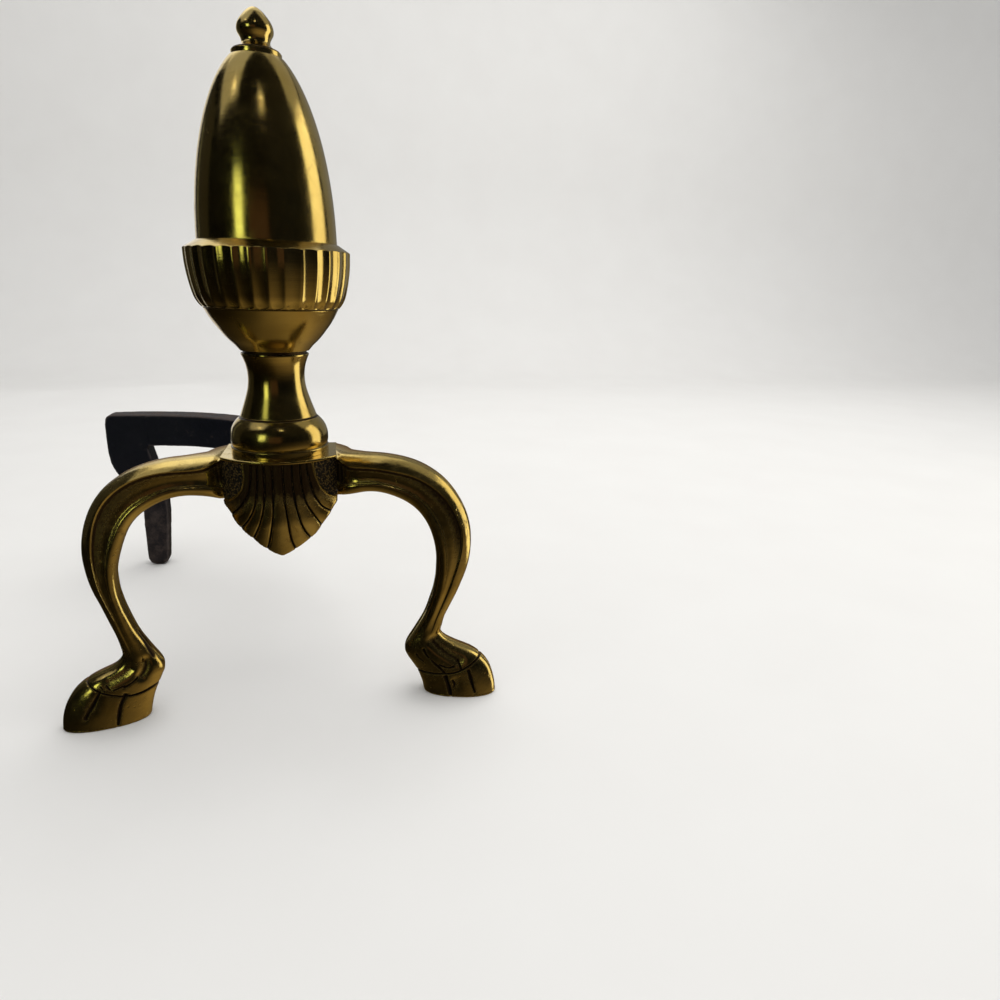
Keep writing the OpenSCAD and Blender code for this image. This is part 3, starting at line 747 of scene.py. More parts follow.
LEG_ANGLE = math.radians(12)
LEG_DEPTH = 20.0
STATIONS = np.array([
    [36.0, 157.0, 36.0, 131.4, 5.5, 0.65, 2.25],
    [39.5, 157.0, 39.0, 131.9, 4.0, 0.90, 1.55],
    [43.5, 157.0, 43.0, 132.7, 3.2, 1.03, 1.28],
    [52.0, 156.7, 51.5, 134.5, 2.8, 1.05, 1.10],
    [62.0, 156.4, 60.5, 134.2, 2.6, 1.05, 1.06],
    [72.1, 154.9, 67.3, 132.2, 2.5, 1.04, 1.04],
    [81.1, 152.4, 73.9, 129.4, 2.5, 1.03, 1.02],
    [89.5, 148.3, 79.9, 125.1, 2.5, 1.01, 1.00],
    [97.1, 142.6, 84.6, 119.8, 2.5, 1.00, 1.00],
    [103.5, 135.2, 88.1, 113.5, 2.5, 1.00, 1.00],
    [108.5, 126.9, 90.5, 106.4, 2.5, 1.00, 1.00],
    [112.0, 117.6, 91.9, 99.3, 2.5, 0.99, 0.99],
    [113.7, 107.6, 92.4, 92.7, 2.5, 0.97, 0.97],
    [113.6, 98.3, 92.3, 87.0, 2.5, 0.95, 0.95],
    [112.4, 89.3, 92.0, 82.0, 2.5, 0.92, 0.92],
    [109.7, 80.4, 91.2, 76.6, 2.4, 0.88, 0.88],
    [106.6, 72.1, 90.0, 70.8, 2.4, 0.84, 0.84],
    [103.2, 64.5, 88.0, 64.5, 2.4, 0.79, 0.79],
    [99.9, 57.5, 85.8, 57.5, 2.3, 0.74, 0.74],
    [97.4, 51.5, 82.8, 51.0, 2.3, 0.70, 0.70],
    [96.3, 46.5, 79.3, 45.0, 2.3, 0.69, 0.69],
    [95.2, 42.2, 76.0, 39.4, 2.2, 0.72, 0.72],
    [97.0, 38.7, 73.0, 33.8, 2.2, 0.78, 0.78],
    [102.1, 35.5, 72.5, 29.9, 2.2, 0.84, 0.84],
    [109.6, 32.3, 73.6, 25.8, 2.2, 0.90, 0.90],
    [117.0, 28.9, 76.1, 21.7, 2.2, 0.96, 0.96],
    [122.8, 24.1, 78.7, 17.7, 2.2, 1.00, 1.00],
    [126.8, 18.6, 81.0, 13.6, 2.2, 1.04, 1.04],
    [129.3, 12.0, 82.8, 9.0, 2.2, 1.07, 1.07],
    [130.9, 5.4, 84.2, 4.2, 2.2, 1.09, 1.09],
    [131.4, 0.0, 84.8, 0.0, 2.2, 1.10, 1.10]])
STATIONS_LEFT = np.array([
    [36.0, 157.0, 36.0, 131.4, 5.5, 0.65, 2.25],
    [39.5, 157.0, 39.0, 132.6, 4.0, 0.90, 1.55],
    [43.5, 157.0, 43.0, 133.8, 3.2, 1.03, 1.28],
    [52.0, 156.5, 51.5, 135.2, 2.8, 1.05, 1.10],
    [62.0, 156.0, 60.5, 134.7, 2.6, 1.05, 1.06],
    [71.9, 154.1, 67.4, 132.5, 2.5, 1.04, 1.04],
    [80.6, 151.1, 73.9, 129.2, 2.5, 1.03, 1.02],
    [88.8, 146.4, 79.7, 124.6, 2.5, 1.01, 1.00],
    [95.9, 140.4, 84.1, 118.7, 2.5, 1.00, 1.00],
    [101.6, 132.6, 87.1, 112.2, 2.5, 1.00, 1.00],
    [105.6, 123.6, 89.6, 105.4, 2.5, 1.00, 1.00],
    [108.1, 114.1, 91.5, 99.0, 2.5, 0.99, 0.99],
    [109.1, 104.4, 92.6, 92.9, 2.5, 0.97, 0.97],
    [108.6, 95.6, 92.7, 87.2, 2.5, 0.95, 0.95],
    [107.4, 87.5, 92.5, 82.2, 2.5, 0.92, 0.92],
    [105.1, 79.5, 91.6, 76.7, 2.4, 0.88, 0.88],
    [102.8, 71.8, 90.3, 70.8, 2.4, 0.84, 0.84],
    [100.7, 64.5, 88.5, 64.5, 2.4, 0.79, 0.79],
    [98.7, 57.5, 86.4, 57.5, 2.3, 0.74, 0.74],
    [97.2, 51.5, 83.6, 51.0, 2.3, 0.70, 0.70],
    [96.4, 46.5, 80.6, 45.1, 2.3, 0.69, 0.69],
    [96.0, 42.4, 77.6, 39.6, 2.2, 0.72, 0.72],
    [97.1, 38.7, 74.8, 34.1, 2.2, 0.78, 0.78],
    [100.6, 35.2, 74.5, 30.2, 2.2, 0.84, 0.84],
    [108.4, 32.1, 75.8, 26.2, 2.2, 0.90, 0.90],
    [115.8, 28.6, 77.7, 22.0, 2.2, 0.96, 0.96],
    [121.9, 24.0, 79.7, 17.8, 2.2, 1.00, 1.00],
    [126.1, 18.5, 81.4, 13.6, 2.2, 1.04, 1.04],
    [129.3, 12.0, 82.8, 9.0, 2.2, 1.07, 1.07],
    [130.9, 5.4, 84.0, 4.2, 2.2, 1.09, 1.09],
    [131.4, 0.0, 84.8, 0.0, 2.2, 1.10, 1.10]])

# per station, from the root: where the sharp front ridge runs across the leg, how far
# forward it stands, and how strong it is. The two castings were finished by hand and
# differ a little.
RIDGE_AT = [0.76, 0.63, 0.54, 0.50, 0.46, 0.48, 0.52, 0.55, 0.58, 0.62, 0.65, 0.65, 0.60, 0.50, 0.40,
            0.35, 0.33, 0.34, 0.36, 0.40, 0.43] + [0.45] * 10
RIDGE_AT_LEFT = [0.80, 0.70, 0.60, 0.54, 0.60, 0.68, 0.73, 0.74, 0.72, 0.67, 0.58, 0.48, 0.40, 0.36, 0.34,
                 0.34, 0.36, 0.38, 0.42, 0.45, 0.46] + [0.45] * 10
RIDGE_OUT = [1.0, 1.0, 1.0, 1.0, 1.0, 1.0, 0.97, 0.92, 0.86, 0.80, 0.75, 0.71, 0.68, 0.66, 0.65,
             0.64, 0.64, 0.65, 0.68, 0.7, 0.72] + [0.75] * 10
RIDGE_OUT_LEFT = [1.0, 1.0, 1.0, 1.0, 1.0, 1.0, 0.97, 0.93, 0.90, 0.88, 0.87, 0.87, 0.88, 0.90, 0.90,
                  0.88, 0.86, 0.84, 0.82, 0.8, 0.8] + [0.8] * 10
RIDGE_HOW = [1, 1, 1, 1, 1, 1, 1, 1, 1, 1, 0.97, 0.93, 0.88, 0.78, 0.64, 0.5, 0.42, 0.36, 0.3, 0.25, 0.2] + [0.0] * 10
# how far the section is that of the upper run, how square its back is, and how far its face is sunk
RUN_HOW = [1.0] * 11 + [0.95, 0.90, 0.80, 0.66, 0.50, 0.36, 0.24, 0.12, 0.05] + [0.0] * 11
BACK_SQUARE = [20, 16, 13, 10, 8, 7, 6, 5, 4.5] + [4] * 22
RUN_FACE = [0.45, 0.78, 0.96] + [1.0] * 28
FACE_IN = [0.82, 0.88, 0.95] + [1.0] * 28
# the casting's flat back stands out as a rim along the inner side, down to the heel
RIM_HOW = [0.0] * 10 + [0.1, 0.2, 0.35, 0.5, 0.65, 0.8, 0.9, 1.0, 1.0, 1.0, 1.0, 0.9, 0.5] + [0.0] * 8

N_OUT, N_COVE, N_FACE, N_IN, N_BACK = 26, 12, 22, 44, 40


def spow(v, e):
    return np.sign(v) * np.abs(v) ** (2.0 / e)


def spread(points, n):
    """n points along the smooth curve through a few, without the last of them."""
    p = np.asarray(points, float)
    t = np.concatenate([[0], np.cumsum(np.linalg.norm(np.diff(p, axis=0), axis=1))])
    return natural_spline(t, p, np.linspace(0, t[-1], n, endpoint=False))


def run_section(ridge_u, ridge_v, face):
    """Section of the upper run, but for its back: a broad top falling forward to a sharp edge, a step
    under it, a sunk front face and a bead along the lower side."""
    top = [(ridge_u + (1 - ridge_u) * a, v * ridge_v) for a, v in ((1, 0), (0.90, 0.25), (0.66, 0.52), (0.33, 0.80), (0, 1))]
    v0 = 0.83 * ridge_v * face
    step = [(ridge_u - a, v) for a, v in ((0, ridge_v), (0.05, 0.96 * ridge_v), (0.12, 0.3 * ridge_v + 0.7 * v0), (0.20, v0))]
    u0 = ridge_u - 0.20
    span = -0.38 - u0
    sunk = [(u0 + span * a, v) for a, v in ((0, v0), (0.3, 0.55 * v0 + 0.45 * 0.80 * face), (0.6, 0.80 * face),
                                           (0.85, 0.82 * face + 0.02), (1, 0.88))]
    bead = [(-0.38, 0.88), (-0.44, 0.93), (-0.56, 0.94), (-0.72, 0.87), (-0.88, 0.67), (-0.97, 0.36), (-1.0, 0.0)]
    return np.concatenate([spread(top, N_OUT), spread(step, N_COVE), spread(sunk, N_FACE), spread(bead, N_IN)])


def section(q, ridge_u, ridge_v, how, face_in, rim, run, face, square):
    """One closed section of a leg as (u, v): u from -1 inside to 1 outside, v forward of the middle."""
    pts = []
    # outer face, from the outermost point forward to the ridge
    a = np.linspace(0, math.pi / 2, N_OUT, endpoint=False)
    base_a = np.linspace(0, math.acos(np.clip(ridge_u, -1, 1) ** (q / 2)), N_OUT, endpoint=False)
    shaped = np.column_stack([ridge_u + (1 - ridge_u) * spow(np.cos(a), 2.3), ridge_v * spow(np.sin(a), 2.3)])
    plain = np.column_stack([spow(np.cos(base_a), q), spow(np.sin(base_a), q)])
    pts.append(plain * (1 - how) + shaped * how)
    # cove under the ridge, then the bulging front face
    u_cove, u_bulge = ridge_u - 0.10, -0.20
    base = lambda u: (1 - np.abs(u) ** q) ** (1 / q)
    v_cove = ridge_v - 0.12
    u = np.linspace(ridge_u, u_cove, N_COVE, endpoint=False)
    t = (ridge_u - u) / (ridge_u - u_cove)
    shaped = ridge_v + (v_cove - ridge_v) * np.sin(t * math.pi / 2) ** 1.2
    plain = base(u)
    pts.append(np.column_stack([u, plain * (1 - how) + shaped * how]))
    u = np.linspace(u_cove, u_bulge, N_FACE, endpoint=False)
    t = (u_cove - u) / (u_cove - u_bulge)
    s = t * t * (3 - 2 * t)
    s = s ** 0.75
    shaped = v_cove + (base(np.array(u_bulge)) * face_in - v_cove) * s
    plain = base(u) * face_in
    pts.append(np.column_stack([u, plain * (1 - how) + shaped * how]))
    # inner half of the front, round to the innermost point
    a0 = math.acos(-(abs(u_bulge) ** (q / 2)))
    a = np.linspace(a0, math.pi, N_IN, endpoint=False)
    inner = np.column_stack([spow(np.cos(a), q), spow(np.sin(a), q) * face_in])
    # the rim: a step back and a narrow channel in front of it
    near = np.exp(-((inner[:, 1] - 0.16) / 0.10) ** 2)
    inner[:, 0] += rim * 0.13 * near + rim * 0.07 * smoothstep(inner[:, 1], 0.1, 0.4)
    pts.append(inner)
    front = np.concatenate(pts)
    if run > 0:
        upper = run_section(ridge_u, ridge_v, face)
        upper[:, 0] += rim * 0.13 * np.exp(-((upper[:, 1] - 0.16) / 0.10) ** 2) * (upper[:, 0] < 0)
        front = front * (1 - run) + upper * run
    # flat back
    a = np.linspace(math.pi, 2 * math.pi, N_BACK, endpoint=False)
    return np.concatenate([front, np.column_stack([spow(np.cos(a), square), spow(np.sin(a), square)])])


def leg_mesh(left):
    angle = LEG_ANGLE
    out = np.array([math.cos(angle), -math.sin(angle), 0])
    back = np.array([math.sin(angle), math.cos(angle), 0])
    r_at = RIDGE_AT_LEFT if left else RIDGE_AT
    r_out = RIDGE_OUT_LEFT if left else RIDGE_OUT
    rings = []
    # root: flat against the plinth's cheek
    sec = section(7.0, 0.88, 1.0, 1.0, 1.0, 0.0, 1.0, 1.09, 24.0)
    rings.append(np.column_stack([np.full(len(sec), 32.0), 0.3 - 17.1 * sec[:, 1], 143.2 + 13.8 * sec[:, 0]]))
    for k, q in enumerate(STATIONS_LEFT if left else STATIONS):
        sec = section(q[4], r_at[k], r_out[k], RIDGE_HOW[k], FACE_IN[k], RIM_HOW[k], RUN_HOW[k], RUN_FACE[k],
                      max(BACK_SQUARE[k], q[4]))
        t = (sec[:, 0] + 1) / 2
        s = q[2] + (q[0] - q[2]) * t
        z = q[3] + (q[1] - q[3]) * t
        w = np.where(sec[:, 1] >= 0, -sec[:, 1] * q[5], -sec[:, 1] * 0.85 * q[6]) * LEG_DEPTH / 2
        rings.append(np.array([0, -4.0, 0]) + s[:, None] * out + w[:, None] * back + z[:, None] * np.array([0, 0, 1.0]))
    rings = np.array(rings)
    mid = rings.mean(axis=1)
    step = np.linalg.norm(np.diff(mid, axis=0), axis=1)
    knots = np.concatenate([[0], np.cumsum(np.maximum(step, 2.5))])
    # rings crowd in the hoof, where the cutting is fine
    ankle = knots[21]
    at = np.concatenate([np.arange(0, 12, 0.7), np.arange(12, ankle, 1.15), np.linspace(ankle, knots[-1] - 0.0, 150)])
    dense = natural_spline(knots, rings, at)
    # even out small unevenness along the leg, never at the two ends
    smooth = dense.copy()
    for _ in range(10):
        inner = smooth.copy()
        inner[1:-1] = 0.5 * smooth[1:-1] + 0.25 * (smooth[:-2] + smooth[2:])
        smooth = inner
    weight = smoothstep(at, 14, 24) * (1 - smoothstep(at, knots[-1] - 14, knots[-1] - 5))
    dense = dense + (smooth - dense) * weight[:, None, None]
    dense[:, :, 0] = np.maximum(dense[:, :, 0], 32.0)
    dense[:, :, 2] = np.minimum(dense[:, :, 2], 157.0)
    return dense, at, knots, out, back


def polyline_distance(p, line):
    """Distance of 2-D points to a smooth line, and how far along it (0 to 1) the nearest point lies."""
    c = smooth_curve(line, 0.25)
    best = np.full(len(p), 1e9)
    where = np.zeros(len(p))
    for i in range(len(c) - 1):
        a, d = c[i], c[i + 1] - c[i]
        t = np.clip(((p - a) @ d) / (d @ d), 0, 1)
        dist = np.linalg.norm(p - (a + t[:, None] * d), axis=1)
        closer = dist < best
        best[closer] = dist[closer]
        where[closer] = (i + t[closer]) / (len(c) - 1)
    return best, where


# cuts on the front of each hoof, in the leg's own plane [out from the post, up]:
# (line, half width at start, half width at end, depth)
CUTS_RIGHT = [
    ([(76, 15.2), (84.8, 15.6), (91.5, 15.8), (97.9, 16.4), (103.0, 16.9), (109.4, 18.9), (115.1, 22.0), (120.1, 25.4), (123.5, 28.0)], 0.62, 0.5, 0.85),
    ([(99.0, 16.0), (100.5, 11.4), (102.1, 5.6), (103.2, -1.0)], 1.15, 0.75, 1.0),
    ([(113.6, 20.2), (115.0, 16.0), (116.5, 10.4), (118.9, 2.4)], 0.95, 0.55, 0.9),
    ([(85.0, 33.5), (87.0, 29.0), (89.5, 26.2)], 0.75, 0.4, 0.8),
    ([(80.3, 29.4), (82.5, 26.0), (85.9, 23.4)], 0.5, 0.35, 0.5),
    ([(89.5, 26.2), (94.6, 21.4), (99.4, 16.6)], 0.5, 0.75, 0.6),
    ([(94.6, 23.2), (100.4, 20.9), (106.0, 21.9)], 0.4, 0.6, 0.5),
    ([(106.5, 26.0), (108.6, 22.6), (109.6, 19.0)], 0.5, 0.6, 0.6),
    ([(103.5, 12.8), (105.3, 9.0), (104.2, 6.4)], 0.6, 0.4, 0.55),
]
CUTS_LEFT = [
    ([(74, 20.6), (81.6, 20.1), (87.0, 18.9), (91.7, 18.6), (97.4, 19.2), (102.9, 20.9), (107.8, 23.0), (111.5, 25.2), (114.5, 27.6), (119.0, 30.4)], 0.62, 0.3, 0.85),
    ([(95.5, 21.6), (97.0, 18.6), (99.1, 14.8), (100.8, 9.0), (102.8, -1.0)], 1.05, 0.5, 1.0),
    ([(108.6, 25.0), (110.6, 21.8), (113.7, 16.4), (116.4, 12.2), (118.9, 7.2)], 0.55, 1.0, 0.95),
    ([(97.6, 24.2), (95.7, 25.0), (92.0, 26.9), (88.6, 29.4)], 0.55, 0.5, 0.65),
    ([(103.0, 23.6), (100.3, 24.5), (95.6, 25.9)], 0.45, 0.4, 0.4),
    ([(106.2, 27.8), (103.6, 24.0)], 0.45, 0.4, 0.5),
    ([(109.2, 27.4), (106.4, 23.4)], 0.4, 0.35, 0.4),
    ([(86.3, 56.0), (83.7, 49.6), (81.2, 43.0), (79.0, 38.0)], 0.4, 0.6, 0.5),
]
# broad thumbed hollows: (line, half width, depth)
HOLLOWS_RIGHT = [([(91.5, 37.5), (97.1, 32.5), (103.5, 28.2), (108.0, 25.4)], 3.4, 1.7), ([(106.5, 12.0), (107.0, 8.0)], 2.6, 0.5)]
HOLLOWS_LEFT = [([(83.9, 37.6), (84.4, 34.0), (87.0, 29.6)], 2.6, 2.1), ([(93.0, 34.5), (98.5, 31.0), (104.0, 29.0)], 2.6, 1.2),
                ([(112.0, 20.0), (113.5, 14.5)], 2.4, 0.5)]


def make_leg(left):
    dense, at, knots, out, back = leg_mesh(left)
    rows, cols = dense.shape[:2]
    s = (dense - np.array([0, -4.0, 0])) @ out
    w = (dense - np.array([0, -4.0, 0])) @ back
    z = dense[:, :, 2]
    # normals of the sheet
    du = np.roll(dense, -1, axis=1) - np.roll(dense, 1, axis=1)
    dv = np.gradient(dense, axis=0)
    nrm = np.cross(du, dv)
    nrm /= np.maximum(np.linalg.norm(nrm, axis=2), 1e-9)[:, :, None]
    centre = dense.mean(axis=1, keepdims=True)
    flip = np.sign(np.sum(nrm * (dense - centre), axis=2).mean())
    nrm *= flip
    facing = -(nrm @ back)                      # 1 where the surface faces the front
    front = smoothstep(facing, -0.25, 0.15)
    top_side = smoothstep(nrm @ (out * 0.6 + np.array([0, 0, 0.8])), 0.2, 0.8)
    p = np.column_stack([s.ravel(), z.ravel()])
    push = np.zeros(rows * cols)
    dirt = np.zeros(rows * cols)
    for number, (line, w0, w1, depth) in enumerate(CUTS_LEFT if left else CUTS_RIGHT):
        d, t = polyline_distance(p, line)
        wide = (w0 + (w1 - w0) * t) * (1.22 + 0.16 * np.sin(9.0 * t + 2.0 * number))
        end = smoothstep(t, 0.0, 0.08) * (1 - 0.7 * smoothstep(t, 0.90, 1.0)) if number else 1.0
        g = np.exp(-np.abs(d / wide) ** 2.4) * end
        reach = np.maximum(front, top_side if number == 0 else 0 * front).ravel()
        push = np.maximum(push, depth * g * reach)
        dirt = np.maximum(dirt, (0.92 * np.exp(-np.abs(d / (wide * 1.25)) ** 2.2) + 0.16 * np.exp(-np.abs(d / (wide * 2.6)) ** 2)) * reach * end)
    soft = np.zeros(rows * cols)
    for line, wide, depth in (HOLLOWS_LEFT if left else HOLLOWS_RIGHT):
        d, t = polyline_distance(p, line)
        g = np.exp(-(d / wide) ** 2) * front.ravel() * smoothstep(facing.ravel(), 0.0, 0.5)
        soft = soft + depth * g
        dirt = np.maximum(dirt, (0.62 if depth > 1.5 else 0.30) * np.exp(-(d / (wide * 0.8)) ** 2) * front.ravel())
    push = (push + soft).reshape(rows, cols)
    dirt = dirt.reshape(rows, cols)
    # the cove under the ridge and the channel before the rim are darkened too
    i_cove = N_OUT + N_COVE
    column = np.arange(cols)
    strength = np.interp(at, knots, [1.0] + list(RIDGE_HOW))
    cove = np.exp(-((column - i_cove + 3) / 5.5) ** 2)
    cove = np.where(column < N_OUT + 1, 0, cove)
    dirt = np.maximum(dirt, 0.86 * cove[None, :] * strength[:, None] * smoothstep(at, knots[-1] * 0.62, knots[-1] * 0.45)[:, None])
    # at the knee the upper side of the sunk face is darkened as well
    knee = smoothstep(at, knots[4], knots[9]) * (1 - smoothstep(at, knots[12], knots[16]))
    broad = np.where(column < i_cove - 5, 0.0, np.exp(-((column - i_cove + 2) / (15.0 if left else 12.0)) ** 4))
    dirt = np.maximum(dirt, (0.50 if left else 0.62) * knee[:, None] * broad[None, :])
    i_rim = N_OUT + N_COVE + N_FACE + N_IN
    rim = np.interp(at, knots, [0.0] + list(RIM_HOW))
    chan = np.exp(-((column - i_rim + 5) / 2.4) ** 2)
    dirt = np.maximum(dirt, 0.9 * chan[None, :] * rim[:, None])
    # the line where the sunk face meets the bead
    i_bead = N_OUT + N_COVE + N_FACE
    line = np.exp(-((column - i_bead + 1) / 1.5) ** 2)
    dirt = np.maximum(dirt, 0.55 * line[None, :] * np.interp(at, knots, [1.0] + list(RUN_HOW))[:, None])
    # painted shade: the front face springs from a recess beside the plinth, darkened where shade falls in it
    scoop = np.where(at < knots[1], 1.0, np.exp(-((at - knots[1]) / 2.8) ** 2))[:, None] * np.exp(-((column - (i_cove + i_bead) / 2 + 2) / 9.5) ** 4)[None, :]
    dirt = np.maximum(dirt, (0.62 if left else 0.90) * scoop)
    push += 0.05 * wobble(dense, 14.0, 5 + left) * smoothstep(at, 12, 20)[:, None]
    dense = dense - nrm * push[:, :, None]
    dense[:, :, 2] = np.maximum(dense[:, :, 2], 0.0)
    raw = np.where(column >= i_rim, 1.0, 0.0)[None, :] * np.ones((rows, 1))
    raw[:, i_rim - 1] = 0.5

    # sole: the last ring is rounded in to the hearth
    last = dense[-1]
    mid = last.mean(axis=0)
    radius = np.linalg.norm((last - mid)[:, :2], axis=1)
    body = [r for r in dense[:-1]]
    keep = [r for r in body if r[:, 2].mean() > 1.3]
    rings = keep
    attr_d, attr_r = [dirt[i] for i in range(len(keep))], [raw[i] for i in range(len(keep))]
    for inset, height in ((0.0, 1.1), (0.10, 0.65), (0.32, 0.28), (0.62, 0.08), (1.0, 0.0), (4.0, 0.0), (9.5, 0.0)):
        scale = (1 - np.minimum(inset / radius, 0.93))[:, None]
        ring = mid + (last - mid) * scale
        ring[:, 2] = height
        rings.append(ring)
        attr_d.append(np.full(cols, 0.35 if inset < 1 else 0.6))
        attr_r.append(np.full(cols, 0.0 if inset < 1 else 0.8))
    rings = np.array(rings)
    n = len(rings)
    if left:
        rings = rings * np.array([-1.0, 1.0, 1.0])
    v = rings.reshape(-1, 3)
    faces = ring_faces(n, cols)
    faces.append(list(range(cols))[::-1])
    faces.append([(n - 1) * cols + i for i in range(cols)])
    b = Build()
    b.add(v, faces, 0, dirt=np.array(attr_d).ravel(), raw=np.array(attr_r).ravel())
    # tenon let into the cheek
    side = -1 if left else 1
    a = np.linspace(0, 2 * math.pi, 48, endpoint=False)
    rows_t = [(26.0, 4.7), (26.15, 5.2), (26.5, 5.5), (32.4, 5.5)]
    tv = np.concatenate([np.column_stack([np.full(48, side * x), -5 + r * np.cos(a), 143 + r * np.sin(a)]) for x, r in rows_t])
    tf = ring_faces(len(rows_t), 48) + [list(range(48))[::-1], [(len(rows_t) - 1) * 48 + i for i in range(48)]]
    b.add(tv, tf, 0, dirt=0.3, raw=1.0)
    name = "leg_left" if left else "leg_right"
    ob = b.object(name + "_casting", [MAT_CAST])
    fix_normals(ob)
    sharpen(ob, 42)
    inside_node(ob, name)
    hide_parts(name)
    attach(ob, BODY)
    return ob


# -------------------------------------------------------------------- the post

ROD_HOLE = 4.5


def inside_node(ob, node):
    """Keeps a piece within the box of the CAD node it stands for."""
    lo, hi = (np.array(c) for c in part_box(node))
    co = np.zeros(len(ob.data.vertices) * 3)
    ob.data.vertices.foreach_get("co", co)
    co = np.clip(co.reshape(-1, 3), lo, hi)
    ob.data.vertices.foreach_set("co", co.ravel())
    ob.data.update()


def turned(name, node, profile, segments=256, dirt=None, slot="turned_brass", raw=None, material=None):
    v = lathe(profile, segments)
    rows = len(profile)
    b = Build()
    d = np.zeros(rows) if dirt is None else np.asarray(dirt, float)
    r = np.zeros(rows) if raw is None else np.asarray(raw, float)
    b.add(v.reshape(-1, 3), ring_faces(rows, segments, close_rows=True), 0,
          dirt=np.repeat(d, segments), raw=np.repeat(r, segments))
    ob = b.object(name, [material or MAT_TURNED])
    fix_normals(ob)
    sharpen(ob, 35)
    inside_node(ob, node)
    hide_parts(node)
    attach(ob, BODY)
    return ob


def make_ball_neck():
    ball = smooth_curve([[26.98, 161.2], [27.45, 162.6], [27.75, 165.4], [27.4, 169], [25.9, 173], [23.2, 176.4], [22.0, 177.5]], 0.35)
    neck = smooth_curve([[21.6, 178.1], [20.2, 182.0], [18.5, 187], [16.6, 193.4], [15.8, 200.4], [16.4, 206.4],
                         [17.5, 210.2], [18.5, 212.6]], 0.4)
    outer = np.concatenate([
        rounded([(ROD_HOLE, 157.0), (27.6, 157.0), (27.75, 157.15), (27.75, 160.4), (27.6, 160.75), (27.2, 160.85), (27.0, 160.95), (26.95, 161.05)],
                [0, 0.1, 0.1, 0.2, 0.15, 0.1, 0.05, 0]),
        ball, [[21.5, 177.75]], neck,
        rounded([(18.65, 212.9), (18.78, 213.2), (18.72, 213.8), (18.4, 213.97), (17.5, 214.0)], [0, 0, 0.2, 0.1, 0])])
    outer = densify(outer, 0.9)
    inner = np.array([[ROD_HOLE, 214.0], [ROD_HOLE, 184.0]])
    profile = np.concatenate([outer, inner])
    z, r = profile[:, 1], profile[:, 0]
    # patina in the two grooves of the ball; painted shade on the top of the neck, in the gap where the bowl sits; a
    # little darker at the foot on the plate
    dirt = 0.95 * np.exp(-((z - 177.75) / 0.55) ** 2) * (r > 20) \
        + 0.9 * np.exp(-((z - 160.98) / 0.22) ** 2) * (r > 20) + 0.5 * (z > 213.85) \
        + 0.35 * np.exp(-((z - 157.05) / 0.15) ** 2)
    return turned("ball_and_neck", "ball_neck", profile, dirt=np.clip(dirt, 0, 1), raw=(r < 5) * 1.0)


FLUTES = 32
FLUTE_TURN = math.radians(4.04)
FLUTE_DEEP = 0.72


